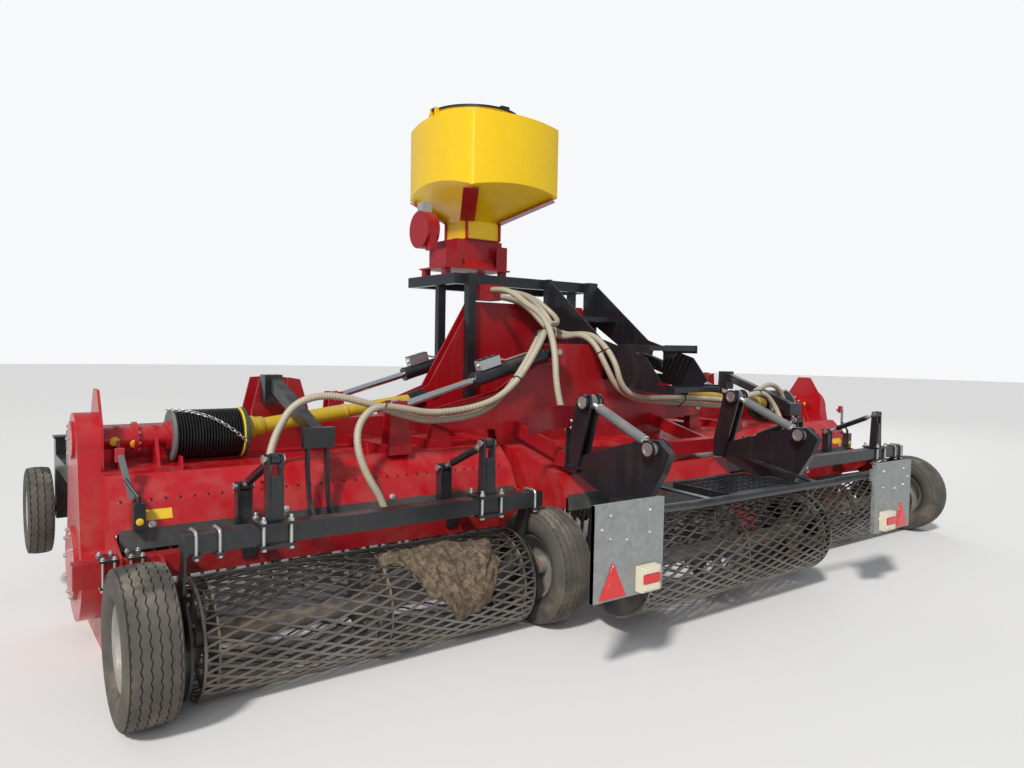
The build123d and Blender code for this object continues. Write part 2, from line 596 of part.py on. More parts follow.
# Wheels, each a tyre on its rim
for name, track, side in (("outer", OUTER_TRACK, 1), ("inner", INNER_TRACK, -1)):
    wheel_tyre = tyre(-track, 0, TYRE_RADIUS, TYRE_RADIUS, TYRE_WIDTH, RIM_RADIUS)
    wheel_rim = rim(-track, 0, TYRE_RADIUS, RIM_RADIUS, RIM_WIDTH, side)
    both_sides(name + "_road_wheel", Compound(children=[wheel_tyre, wheel_rim]))

# Furrow tines on a black arm, behind each wing's hood
arm = square_bar((-2030, TOOLBAR_REAR - 60, 1245), (-2030, 480, 1005), 62, 62)
arm += box((-2085, -1985), (TOOLBAR_REAR - 100, TOOLBAR_REAR - 15), (1125, 1280))
arm += box((-2110, -1950), (465, 510), (945, 1045))
for x in (-2085, -1985):
    tine = thick_line([(470, 1035), (475, 850), (455, 720), (430, 600)], -30)
    arm += plate_along_x((x - 8, x + 8), tine)
    arm += plate_along_x((x - 8, x + 8), [(430, 600), (460, 700), (360, 585)])
both_sides("furrow_tines", arm)

# Front gauge wheel on its post
gauge_arm = box((-3030, -2960), (TOOLBAR_REAR + 40, 1900), (720, 800))
gauge_arm += box((-3030, -2960), (TOOLBAR_REAR + 40, TOOLBAR_FRONT), (720, TOOLBAR_HIGH - 20))
gauge_arm += box((-2960, -WING_OUTER_END), (TOOLBAR_REAR + 40, TOOLBAR_FRONT),
                 (TOOLBAR_LOW + 20, TOOLBAR_HIGH - 20))
gauge_arm += box((-3030, -2960), (1900, 1990), (GAUGE_Z - 40, 890))
gauge_arm += box((-3038, -2952), (1892, 1998), (890, 902))
gauge_arm += box((-3030, -2975), (1990, 2040), (GAUGE_Z - 40, GAUGE_Z + 60))
gauge_arm += round_bar((-3030, GAUGE_Y, GAUGE_Z), (-GAUGE_X - 40, GAUGE_Y, GAUGE_Z), 20)
both_sides("gauge_arm", gauge_arm)
gauge = tyre(-GAUGE_X, GAUGE_Y, GAUGE_Z, GAUGE_RADIUS, GAUGE_WIDTH, 120)
gauge += round_bar((-GAUGE_X - 55, GAUGE_Y, GAUGE_Z), (-GAUGE_X + 55, GAUGE_Y, GAUGE_Z), 121)
gauge -= round_bar((-GAUGE_X - 80, GAUGE_Y, GAUGE_Z), (-GAUGE_X + 80, GAUGE_Y, GAUGE_Z),
                   20 + RUNNING_CLEARANCE)
both_sides("gauge_wheel", gauge)

# Fold cylinders
length = cylinder_length()
barrels, rods = [], []
for y in (REAR_CYLINDER_Y, FRONT_CYLINDER_Y):
    base = along_cylinder(0, y)
    eye = along_cylinder(length, y)
    barrel = round_bar(along_cylinder(BARREL_START, y), along_cylinder(BARREL_END, y), BARREL_RADIUS)
    barrel += round_bar((base[0], y - EYE_WIDTH / 2, base[2]), (base[0], y + EYE_WIDTH / 2, base[2]),
                        EYE_RADIUS)
    barrel += round_bar(base, along_cylinder(BARREL_START, y), 26)
    barrel -= round_bar((base[0], y - EYE_WIDTH / 2, base[2]), (base[0], y + EYE_WIDTH / 2, base[2]),
                        CYLINDER_PIN_RADIUS + RUNNING_CLEARANCE)
    barrel -= round_bar(along_cylinder(BARREL_START + 15, y), along_cylinder(BARREL_END - 30, y), BARREL_BORE)
    barrel -= round_bar(along_cylinder(BARREL_END - 31, y), along_cylinder(BARREL_END + 1, y),
                        CYLINDER_ROD_RADIUS + RUNNING_CLEARANCE)
    valve = Pos(0, 0, BARREL_RADIUS - 3 + VALVE_BLOCK[2] / 2) * Box(*VALVE_BLOCK)
    barrel += Pos(*along_cylinder(VALVE_AT, y)) * Rot(0, -CYLINDER_SLOPE, 0) * valve
    barrels.append(barrel)
    rod = round_bar(along_cylinder(PISTON_AT, y), along_cylinder(length - 20, y), CYLINDER_ROD_RADIUS)
    rod += round_bar(along_cylinder(PISTON_AT, y), along_cylinder(PISTON_AT + 40, y), BARREL_BORE - 0.3)
    rod += round_bar((eye[0], y - EYE_WIDTH / 2, eye[2]), (eye[0], y + EYE_WIDTH / 2, eye[2]), EYE_RADIUS)
    rod -= round_bar((eye[0], y - EYE_WIDTH / 2, eye[2]), (eye[0], y + EYE_WIDTH / 2, eye[2]),
                     CYLINDER_PIN_RADIUS)
    rods.append(rod)
both_sides("fold_barrels", barrels[0] + barrels[1])
both_sides("fold_rods", rods[0] + rods[1])

# Centre unit: hood, grid, rotor
left, right = -CENTRE_END + END_PLATE, CENTRE_END - END_PLATE
sheet, rubber = hood(left, right, CENTRE_REAR_REACH)
centre = sheet
centre += end_plate((-CENTRE_END, left), (-CENTRE_END, -CENTRE_END + SKID_WIDTH), CENTRE_REAR_REACH,
                    tail=False)
centre += end_plate((right, CENTRE_END), (CENTRE_END - SKID_WIDTH, CENTRE_END), CENTRE_REAR_REACH, tail=False)
nodes["centre_hood"] = centre
nodes["centre_flap"] = rubber
nodes["centre_comb"] = comb(left, right)
nodes["centre_rotor"] = rotor(left + ROTOR_GAP, right - ROTOR_GAP)

# Tower plates with their spacers and the ears that hold the cylinders' bases
foot = [(CENTRE_END, HOOD_TOP), (CENTRE_END + 30, 945), (1110, 965), (FOLD_X + 58, 1002), (FOLD_X + 58, 1060),
        (FOLD_X - 25, 1092)]
rear_flank = [(700, 1185), (430, 1350), (420, REAR_TOWER_TOP)]
front_flank = [(870, 1186), (517, TOWER_TOP)]
slot = [(210, REAR_TOWER_TOP), (210, STAIR_SLOT), (140, STAIR_SLOT), (140, REAR_TOWER_TOP)]
tower_parts = []
for lug_y, flank, notch in ((REAR_LUG_Y, rear_flank, slot), (FRONT_LUG_Y, front_flank, [])):
    outline = [(-x, z) for x, z in foot + flank] + notch[::-1] + [(x, z) for x, z in reversed(foot + flank)]
    for edge in (lug_y - TOWER_GAP / 2 - TOWER_PLATE, lug_y + TOWER_GAP / 2):
        holes = [(side * FOLD_X, FOLD_Z, FOLD_PIN_RADIUS) for side in (-1, 1)]
        tower_parts.append(plate_along_y((edge, edge + TOWER_PLATE), outline, holes))
    for side in (-1, 1):
        gap = (lug_y - TOWER_GAP / 2, lug_y + TOWER_GAP / 2)
        tower_parts.append(box(sorted((side * 480, side * 600)), gap, (HOOD_TOP, 1050)))
for y in (REAR_CYLINDER_Y, FRONT_CYLINDER_Y):
    outer = -1 if y < ROTOR_Y else 1
    edge = y + outer * (EYE_WIDTH / 2 + 10)
    lug_y = REAR_LUG_Y if outer < 0 else FRONT_LUG_Y
    wall = lug_y + outer * (TOWER_GAP / 2 + TOWER_PLATE)
    for side in (-1, 1):
        x, z = side * CYLINDER_BASE[0], CYLINDER_BASE[1]
        ear = [(x - 62, z - 70), (x + 62, z - 70), (x + 45, z + 50), (x - 45, z + 50)]
        tower_parts.append(plate_along_y(sorted((edge, edge + outer * 15)), ear,
                                         [(x, z, CYLINDER_PIN_RADIUS)]))
        tower_parts.append(box((x - 62, x + 62), sorted((edge + outer * 15, wall)), (z - 85, z - 70)))
nodes["tower_plates"] = tower_parts[0] + tower_parts[1:]

# Centre frame between the towers, with the crossbeam in front of them
centre_frame = box((-480, 480), (REAR_LUG_Y + 50, FRONT_LUG_Y - 50), (HOOD_TOP, BED_TOP))
for side in (-1, 1):
    centre_frame += box(sorted((side * 480, side * 600)), (REAR_LUG_Y + 50, FRONT_LUG_Y - 50),
                        (HOOD_TOP, 1050))
centre_frame += box((-700, 700), (FRONT_LUG_Y + 50, CROSSBEAM_FRONT), (600, 900))

# Hitch: a pair of plates for each lower link and a mast for the top link
hitch = []
for side in (-1, 1):
    x = side * HITCH_SPREAD / 2
    arm = [(CROSSBEAM_FRONT, 600), (HITCH_Y - 20, HITCH_Z - 65), (HITCH_Y + 55, HITCH_Z - 50),
           (HITCH_Y + 55, HITCH_Z + 60), (CROSSBEAM_FRONT, 880)]
    for inner in (-HITCH_GAP / 2 - HITCH_PLATE, HITCH_GAP / 2):
        hitch.append(plate_along_x((x + inner, x + inner + HITCH_PLATE), arm,
                                   [(HITCH_Y, HITCH_Z, HITCH_HOLE_RADIUS)]))
    mast = [(FRONT_LUG_Y + 50, 1180), (FRONT_LUG_Y + 50, 1560), (TOP_LINK_Y + 60, TOP_LINK_Z + 50),
            (TOP_LINK_Y + 60, TOP_LINK_Z - 50)]
    hitch.append(plate_along_x(sorted((side * 35, side * 50)), mast,
                               [(TOP_LINK_Y, TOP_LINK_Z, TOP_HOLE_RADIUS)]))
nodes["hitch_frame"] = hitch[0] + hitch[1:]

# Pins of the folds and cylinders
pins = []
for lug_y in (REAR_LUG_Y, FRONT_LUG_Y):
    span = TOWER_GAP / 2 + TOWER_PLATE + 8
    for side in (-1, 1):
        pins.append(round_bar((side * FOLD_X, lug_y - span, FOLD_Z), (side * FOLD_X, lug_y + span, FOLD_Z),
                              FOLD_PIN_RADIUS))
for y in (REAR_CYLINDER_Y, FRONT_CYLINDER_Y):
    outer = -1 if y < ROTOR_Y else 1
    wall = REAR_LUG_Y - TOWER_GAP / 2 if outer < 0 else FRONT_LUG_Y + TOWER_GAP / 2
    for side in (-1, 1):
        x, z = side * CYLINDER_BASE[0], CYLINDER_BASE[1]
        pins.append(round_bar((x, wall - outer * 10, z), (x, y + outer * (EYE_WIDTH / 2 + 32), z),
                              CYLINDER_PIN_RADIUS))
nodes["frame_pins"] = pins[0] + pins[1:]
nodes["tower_plates"] -= nodes["frame_pins"]

# Gearbox with its trumpets and input shaft
gear_rear, gear_front = REAR_LUG_Y + 60, FRONT_LUG_Y - 60
gearbox = box((-120, 120), (gear_rear, gear_front), (BED_TOP, 1330))
gearbox = fillet(gearbox.edges().filter_by(Axis.Y), 40)
for side in (-1, 1):
    gearbox += round_bar((side * 100, ROTOR_Y, PTO_PIVOT_Z), (side * 1008, ROTOR_Y, PTO_PIVOT_Z),
                         TRUMPET_RADIUS)
    for x in (150, 560, 985):
        gearbox += round_bar((side * x, ROTOR_Y, PTO_PIVOT_Z), (side * (x + 20), ROTOR_Y, PTO_PIVOT_Z), 85)
    gearbox += box(sorted((side * 530, side * 550)), (ROTOR_Y - 60, ROTOR_Y + 60), (1050, 1150))
    joint = (side * PTO_PIVOT_X, ROTOR_Y, PTO_PIVOT_Z)
    gearbox += round_bar((side * 1000, ROTOR_Y, PTO_PIVOT_Z), joint, 25)
    gearbox -= Pos(*joint) * Sphere(PTO_JOINT_RADIUS + 0.3)
gearbox += round_bar((0, gear_front, PTO_INPUT_Z), (0, FRONT_LUG_Y + 260, PTO_INPUT_Z), 34)
gearbox += round_bar((0, FRONT_LUG_Y + 260, PTO_INPUT_Z), (0, FRONT_LUG_Y + 350, PTO_INPUT_Z),
                     PTO_INPUT_RADIUS)
nodes["centre_gearbox"] = gearbox
shaft_hole = round_bar((0, FRONT_LUG_Y - 60, PTO_INPUT_Z), (0, FRONT_LUG_Y + 60, PTO_INPUT_Z), 34)
nodes["tower_plates"] -= shaft_hole

# Rear of the centre: tube, posts, struts, roller carrier
rear_tube = box((-700, 700), (150, 240), (785, 875))
for side in (-1, 1):
    rear_tube += plate_along_x(sorted((side * 610, side * 640)),
                               [(235, 785), (235, 875), (REAR_LUG_Y - 50, 1000), (REAR_LUG_Y - 50, 915)])
nodes["centre_frame"] = centre_frame + rear_tube
carrier = []
for side in (-1, 1):
    x = side * 645
    carrier.append(plate_along_x((x - 38, x - 26),
                                 [(70, 760), (148, 760), (148, 880), (80, 1185), (-30, 1210), (-35, 1130)]))
    carrier.append(plate_along_x((x + 26, x + 38),
                                 [(70, 760), (148, 760), (148, 880), (80, 1185), (-30, 1210), (-35, 1130)]))
    carrier.append(box((x - 38, x + 38), (138, 150), (770, 890)))
    swing = [(120, 770), (120, 840), (-400, 1000), (-520, 1010), (-600, 950), (-560, 850), (-430, 640),
             (-300, 640), (-60, 700)]
    carrier.append(plate_along_x((x - 22, x + 22), swing))
    shank = sorted((side * (CENTRE_DRUM_HALF + 8), side * (CENTRE_DRUM_HALF + 18)))
    fork = [(-430, 640), (-300, 640), (CENTRE_DRUM_Y + 60, CENTRE_DRUM_Z),
            (CENTRE_DRUM_Y - 60, CENTRE_DRUM_Z)]
    disc = plate_along_x(shank, fork)
    disc += extrude(plane_x(shank[0]) * Pos(CENTRE_DRUM_Y, CENTRE_DRUM_Z) * Circle(DISC_RADIUS),
                    amount=shank[1] - shank[0])
    disc -= extrude(plane_x(shank[0]) * Pos(CENTRE_DRUM_Y,
                                            CENTRE_DRUM_Z) * Circle(DRUM_SHAFT_RADIUS + RUNNING_CLEARANCE),
                    amount=shank[1] - shank[0])
    carrier.append(disc)
carrier.append(box((-CENTRE_DRUM_HALF - 18, CENTRE_DRUM_HALF + 18), (-420, -330), (640, 700)))
carrier_set = carrier[0]
for piece in carrier[1:]:
    carrier_set += piece
nodes["roller_carrier"] = carrier_set
struts = []
for side in (-1, 1):
    x = side * 645
    top, low = Vector(x, 5, 1165), Vector(x, -490, 965)
    way = (low - top).normalized()
    strut = round_bar(top, low, 16) + round_bar(top + way * 70, low - way * 90, 28)
    strut += round_bar(top - Vector(60, 0, 0), top + Vector(60, 0, 0), 22)
    strut += round_bar(low - Vector(60, 0, 0), low + Vector(60, 0, 0), 34)
    struts.append(strut)
nodes["carrier_struts"] = struts[0] + struts[1]
nodes["roller_carrier"] -= nodes["carrier_struts"]

# Walkway, bumper and braces
walkway = box((-305, 305), (-690, -680), (690, 735)) + box((-305, 305), (-320, -310), (690, 735))
for x in (-305, 295):
    walkway += box((x, x + 10), (-690, -310), (690, 735))
for index in range(11):
    x = -250 + index * 50
    walkway += box((x - 3, x + 3), (-690, -310), (715, 735))
for index in range(4):
    y = -610 + index * 75
    walkway += box((-305, 305), (y - 4, y + 4), (719, 731))
walkway += box((-305, 305), (-420, -330), (700, 715))
bumper_points = [(-960, -745, 735), (-620, -700, 712), (620, -700, 712), (960, -745, 735)]
bumper = FilletPolyline(*bumper_points, radius=260)
walkway += sweep(Plane(origin=bumper @ 0, z_dir=bumper % 0) * Circle(21), path=bumper)
for side in (-1, 1):
    walkway += square_bar((side * 690, 150, 800), (side * 460, -690, 722), 40, 12)
nodes["walkway"] = walkway - nodes["roller_carrier"] - nodes["centre_frame"]

plates, lamps, reflectors = [], [], []
for side in (-1, 1):
    x = side * 1130
    sheet = box((x - 210, x + 210), (-803, -800), (385, 805))
    sheet += box((x - 210, x + 210), (-803, -778), (802, 805))
    outer_edge = sorted((x + side * 210, x + side * 207))
    sheet += box(outer_edge, (-803, -778), (385, 805))
    sheet += box(sorted((side * 925, side * 985)), (-800, -760), (700, 770))
    plates.append(sheet)
    lamps.append(box(sorted((x - side * 60, x - side * 180)), (-850, -803.3), (420, 530)))
    reflector = [(x + side * 110 - 80, 400), (x + side * 110 + 80, 400), (x + side * 110, 545)]
    reflectors.append(plate_along_y((-811, -803.3), reflector))
nodes["marker_plates"] = (plates[0] + plates[1]) - nodes["walkway"]
nodes["rear_lights"] = lamps[0] + lamps[1] + reflectors[0] + reflectors[1]

# Platform and stairs
deck = box((DECK_LEFT, DECK_RIGHT), (DECK_REAR, DECK_FRONT), (DECK_LOW, DECK_HIGH))
deck -= box((DECK_LEFT + 50, DECK_RIGHT - 50), (DECK_REAR + 50, DECK_FRONT - 50), (DECK_LOW, DECK_HIGH))
for index in range(12):
    x = DECK_LEFT + 90 + index * 104
    deck += box((x - 4, x + 4), (DECK_REAR + 40, DECK_FRONT - 40), (DECK_HIGH - 30, DECK_HIGH))
for x in (-560, 560):
    deck += box((x - 30, x + 30), (DECK_REAR - 60, DECK_REAR), (1050, DECK_HIGH))
for x in (DECK_LEFT + 30, DECK_RIGHT - 30):
    deck += box((x - 30, x + 30), (CROSSBEAM_FRONT - 48, CROSSBEAM_FRONT), (900, DECK_LOW))
deck += box((STAIR_LEFT - 35, STAIR_LEFT), (DECK_REAR - 60, DECK_REAR), (BED_TOP, DECK_HIGH))
deck += box((STAIR_RIGHT - 41, STAIR_RIGHT - 6), (DECK_REAR - 60, DECK_REAR), (1530, DECK_HIGH))
nodes["platform"] = deck
stringer = [(1398, 1975), (1380, 1970), (790, 1530), (360, 1410), (230, 1260), (340, 1180), (670, 1230),
            (1050, 1460),
            (1398, 1660)]
stairs = plate_along_x((STAIR_LEFT, STAIR_LEFT + 6), stringer)
stairs += plate_along_x((STAIR_RIGHT - 6, STAIR_RIGHT), stringer)
window = [(REAR_CYLINDER_Y - 53, 1290), (REAR_CYLINDER_Y + 53, 1290), (REAR_CYLINDER_Y + 53, 1440),
          (REAR_CYLINDER_Y + 35, 1466), (REAR_CYLINDER_Y - 35, 1466), (REAR_CYLINDER_Y - 53, 1440)]
stairs -= plate_along_x((STAIR_RIGHT - 6, STAIR_RIGHT), window)
for x in (STAIR_LEFT, STAIR_RIGHT - 6):
    stairs += box((x, x + 6), (330, 625), (1440, 1495)) + box((x, x + 6), (110, 350), (1182, 1235))
for y_range, z in (((330, 615), 1490), ((110, 330), 1225), ((1120, 1330), 1700)):
    for index in range(TREAD_BARS):
        y = y_range[0] + 10 + index * (y_range[1] - y_range[0] - 20) / (TREAD_BARS - 1)
        stairs += box((STAIR_LEFT, STAIR_RIGHT), (y - 4, y + 4), (z - 35, z))
nodes["stairs"] = stairs

# Seeder base: feet, housing, toothed top plate, straps, blower with its duct, and the control box
housing_left, housing_right = -473.0, -55.0
housing_rear, housing_front = 1640.0, 1990.0
base = box((-620, -40), (housing_rear - 20, housing_front + 10), (BASE_Z - 12, BASE_Z))
for x in (-610, -110):
    for y in (housing_rear, housing_front - 60):
        base += box((x, x + 50), (y, y + 50), (DECK_HIGH, BASE_Z - 12))
base += box((housing_left, housing_left + 10), (housing_rear, housing_front), (BASE_Z, NECK_LOW - 100))
base += box((housing_right - 10, housing_right), (housing_rear, housing_front), (BASE_Z, NECK_LOW - 50))
base += box((housing_right - 97, housing_right - 10), (housing_rear, housing_rear + 8),
            (BASE_Z, NECK_LOW - 50))
base += box((housing_left, housing_right - 10), (housing_rear + 60, housing_front), (BASE_Z, NECK_LOW - 8))
apron = [(housing_rear, BASE_Z), (housing_rear + 60, BASE_Z), (housing_rear + 60, BASE_Z + 75)]
base += plate_along_x((housing_left + 10, housing_right - 97), apron)
base += box((-603, housing_left), (housing_rear, 1880), (BASE_Z, NECK_LOW - 100))
base += box((NECK_X - 150, NECK_X + 150), (NECK_Y - 150, NECK_Y + 150), (NECK_LOW - 8, NECK_LOW))
for index in range(9):
    x = NECK_X - 136 + index * 34
    base += box((x - 9, x + 9), (NECK_Y - 162, NECK_Y - 150), (NECK_LOW - 8, NECK_LOW))
for side_x, corner_x in ((-1, TANK_LEFT), (1, TANK_RIGHT)):
    for side_y, corner_y in ((-1, TANK_REAR), (1, TANK_FRONT)):
        low = Vector(NECK_X + side_x * NECK / 2, NECK_Y + side_y * NECK / 2, NECK_HIGH)
        high = Vector(corner_x, corner_y, TANK_LOW)
        way = (high - low).normalized()
        down = way.cross(Vector(0, 0, 1).cross(way)).normalized() * STRAP_THICKNESS * -0.7
        base += square_bar(low + down, high + way * -35 + down, STRAP_WIDTH, STRAP_THICKNESS)
        post_x, post_y = low.X + side_x * 8, low.Y + side_y * 8
        base += box((post_x - 8, post_x + 8), (post_y - 8, post_y + 8), (NECK_LOW, NECK_HIGH + 20))
base += round_bar((-665, 1940, 2330), (-560, 1940, 2330), 140)
base += box((-640, -585), (1800, 1875), (NECK_LOW - 100, 2330))
base += box((-650, -575), (1900, 1980), (2462, 2535))
base += box((-470, MANIFOLD_X), (MANIFOLD_REAR, DECK_REAR + 50), (DECK_LOW - 110, DECK_LOW))

# Tank: bowed walls cut by a pyramid below and a cone above, with a neck under it and a ring for the lid
tank_x, tank_y = (TANK_LEFT + TANK_RIGHT) / 2, (TANK_REAR + TANK_FRONT) / 2


def tank_shape(inset):
    """The tank's outer shape, or the shape inside its walls."""
    half_x, half_y = (TANK_RIGHT - TANK_LEFT) / 2 - inset, (TANK_FRONT - TANK_REAR) / 2 - inset
    corners = [(-half_x, -half_y), (half_x, -half_y), (half_x, half_y), (-half_x, half_y)]
    bulges = [(0, -half_y - TANK_BOW), (half_x + TANK_BOW, 0), (0, half_y + TANK_BOW),
              (-half_x - TANK_BOW, 0)]
    walls = [ThreePointArc(a, bulge, b) for a, bulge, b in zip(corners, bulges, corners[1:] + corners[:1])]
    plan = make_face(walls)
    plan = fillet(plan.vertices(), TANK_CORNER - inset)
    top = TANK_HIGH + SHOULDER - inset
    prism = extrude(plane_z(NECK_HIGH) * Pos(tank_x, tank_y) * plan, amount=top - NECK_HIGH)
    rise = (top - NECK_HIGH) / (TANK_LOW - NECK_HIGH)
    sides = []
    for near, far in ((NECK_X - NECK / 2, TANK_LEFT), (NECK_X + NECK / 2, TANK_RIGHT),
                      (NECK_Y - NECK / 2, TANK_REAR), (NECK_Y + NECK / 2, TANK_FRONT)):
        drawn_in = inset * 1.3 if far > near else -inset * 1.3
        sides.append((near - drawn_in, near + (far - near) * rise - drawn_in))
    sections = []
    for level, z in ((0, NECK_HIGH), (1, top)):
        (low_x, high_x, low_y, high_y) = [side[level] for side in sides]
        middle = Pos((low_x + high_x) / 2, (low_y + high_y) / 2)
        sections.append(plane_z(z) * middle * Rectangle(high_x - low_x, high_y - low_y))
    funnel = loft(sections)
    shoulder = Polygon((0, NECK_HIGH - 5), (SHOULDER_RADIUS, NECK_HIGH - 5),
                       (SHOULDER_RADIUS, TANK_HIGH - 10 - inset),
                       (LID_RADIUS, top), (0, top), align=None)
    cone = Pos(NECK_X, NECK_Y) * revolve(Plane.XZ * shoulder, axis=Axis.Z)
    neck = box((NECK_X - NECK / 2 + inset, NECK_X + NECK / 2 - inset),
               (NECK_Y - NECK / 2 + inset, NECK_Y + NECK / 2 - inset),
               (NECK_LOW + inset, NECK_HIGH + inset))
    return (prism & funnel & cone) + neck


tank = tank_shape(0) + Pos(NECK_X, NECK_Y, LID_Z - LID_RING / 2 - 5) * Cylinder(LID_RADIUS, LID_RING + 10)
tank -= tank_shape(TANK_WALL)
tank -= Pos(NECK_X, NECK_Y, LID_Z - LID_RING / 2 - 10) * Cylinder(LID_RADIUS - TANK_WALL, LID_RING + 60)
hinge_x, hinge_z = NECK_X - LID_RADIUS - 22, LID_Z + 8
for side in (-1, 1):
    lug_span = sorted((NECK_Y + side * 26, NECK_Y + side * 40))
    tank += box((hinge_x - 12, NECK_X - LID_RADIUS + 4), lug_span, (TANK_HIGH + 46, LID_Z + 18))
tank += round_bar((hinge_x, NECK_Y - 40, hinge_z), (hinge_x, NECK_Y + 40, hinge_z), LID_PIN_RADIUS)
nodes["seeder_tank"] = tank
lid = Pos(NECK_X, NECK_Y, LID_Z + 7.3) * Cylinder(LID_RADIUS + 10, 14)
lid -= box((NECK_X - LID_RADIUS - 20, NECK_X - LID_RADIUS + 9), (NECK_Y - 45, NECK_Y + 45),
           (LID_Z, LID_Z + 20))
lid += box((NECK_X - LID_RADIUS - 12, NECK_X - LID_RADIUS + 40), (NECK_Y - 20, NECK_Y + 20),
           (LID_Z + 0.3, LID_Z + 14.3))
lid += round_bar((hinge_x, NECK_Y - 20, hinge_z), (hinge_x, NECK_Y + 20, hinge_z), LID_PIN_RADIUS + 7)
lid -= round_bar((hinge_x, NECK_Y - 20, hinge_z), (hinge_x, NECK_Y + 20, hinge_z),
                 LID_PIN_RADIUS + RUNNING_CLEARANCE)
lid += Pos(NECK_X, NECK_Y, LID_Z + 22) * Cylinder(40, 18)
lid += Pos(NECK_X + 60, NECK_Y - LID_RADIUS + 35, LID_Z + 24) * Box(70, 60, 22)
nodes["seeder_lid"] = lid
nodes["seeder_base"] = base - tank_shape(0)


def hose(points):
    """A hose along straight runs joined by the widest arcs that the runs leave room for."""
    runs = [Vector(*after) - Vector(*before) for before, after in zip(points, points[1:])]
    radii = []
    for before, after in zip(runs, runs[1:]):
        half_turn = radians(before.get_angle(after)) / 2
        radii.append(0.45 * min(before.length, after.length) / tan(half_turn))
    path = FilletPolyline(*points, radius=radii)
    print("hose", round(path.length), "mm, arcs", [round(radius) for radius in radii])
    return sweep(Plane(origin=path @ 0, z_dir=path % 0) * Circle(HOSE_RADIUS), path=path)


def socket(points):
    """The short pipe that a hose's last run points into."""
    end = Vector(*points[-1])
    way = (end - Vector(*points[-2])).normalized()
    return round_bar(end, end + way * SOCKET_LENGTH, SOCKET_RADIUS)


# Seed hoses from the manifold: the centre bed's own one, and two to each wing that bend as the wing folds
centre_hose = [
    (-400, MANIFOLD_REAR, 1865), (-400, 1200, 1865), (-395, 1060, 1820), (-405, 930, 1755), (-430, 795, 1710),
    (-468, 660, 1655), (-505, 535, 1560), (-530, 460, 1420), (-545, 430, 1265), (-540, 390, 1110),
    (-505, 345, 955),
    (-450, 305, 805)]
left_hood_hose = [
    (MANIFOLD_X, 1350, 1865), (-190, 1350, 1865), (-55, 1322, 1815), (30, 1260, 1710), (10, 1160, 1627),
    (-110, 1020, 1580), (-270, 880, 1575), (-425, 745, 1560), (-560, 620, 1480), (-680, 590, 1335),
    (-790, 590, 1200),
    (-970, 590, 1061), (-1330, 590, 1029), (-1530, 595, 1085), (-1740, 620, 1160), (-1930, 650, 1200),
    (-2090, 670, 1155), (-2180, 660, 1015), (-2230, 625, 900), (-2250, 600, 815)]
left_tube_hose = [
    (MANIFOLD_X, 1396, 1868), (-180, 1396, 1868), (-20, 1358, 1835), (80, 1275, 1735), (60, 1155, 1668),
    (-80, 995, 1628), (-240, 850, 1625), (-395, 715, 1610), (-530, 580, 1530), (-665, 545, 1365),
    (-780, 545, 1230),
    (-970, 545, 1118), (-1330, 545, 1078), (-1530, 545, 1120), (-1700, 540, 1140), (-1800, 520, 1050),
    (-1830, 470, 930), (-1800, 410, 790), (-1730, 380, 670), (-1700, 375, 575)]
right_hood_hose = [
    (MANIFOLD_X, 1350, 1818), (-200, 1350, 1818), (-80, 1318, 1750), (-8, 1240, 1632), (8, 1130, 1550),
    (8, 985, 1535), (0, 830, 1560), (5, 695, 1505), (30, 610, 1360), (110, 580, 1200), (270, 580, 1120),
    (520, 580, 1090), (960, 590, 1062), (1330, 590, 1029), (1530, 595, 1085), (1740, 620, 1160),
    (1930, 650, 1200),
    (2090, 670, 1155), (2180, 660, 1015), (2230, 625, 900), (2250, 600, 815)]
right_tube_hose = [
    (MANIFOLD_X, 1397, 1820), (-200, 1397, 1820), (-70, 1364, 1760), (20, 1290, 1665), (54, 1180, 1590),
    (58, 1030, 1555), (54, 860, 1565), (52, 715, 1540), (68, 556, 1390), (104, 526, 1206), (262, 528, 1126),
    (540, 535, 1125), (960, 545, 1110), (1330, 545, 1078), (1530, 545, 1120), (1700, 540, 1140),
    (1800, 520, 1050),
    (1830, 470, 930), (1800, 410, 790), (1730, 380, 670), (1700, 375, 575)]
nodes["centre_hose"] = hose(centre_hose)
nodes["wing_hoses_left"] = Compound(children=[hose(left_hood_hose), hose(left_tube_hose)])
nodes["wing_hoses_right"] = Compound(children=[hose(right_hood_hose), hose(right_tube_hose)])
nodes["centre_hood"] += socket(centre_hose)
nodes["wing_hood_left"] += socket(left_hood_hose)
nodes["wing_hood_right"] += socket(right_hood_hose)
nodes["wing_frame_left"] += socket(left_tube_hose)
nodes["wing_frame_right"] += socket(right_tube_hose)

# Move to the middle of the machine and write one file per node
rear_end, front_end = -850.0, HITCH_Y + 55
shift = Pos(0, -(rear_end + front_end) / 2, 0)
os.makedirs("parts", exist_ok=True)
for name, shape in nodes.items():
    export_step(shift * shape, "parts/" + name + ".step")
print(len(nodes), "nodes, Y shift", -(rear_end + front_end) / 2)
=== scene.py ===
"""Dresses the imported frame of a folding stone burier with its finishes, fittings, light and camera."""
import json
import logging
import math
from dataclasses import dataclass
from enum import Enum
from typing import Any, Optional, Sequence, Union

import bpy
from mathutils import Matrix, Vector, noise

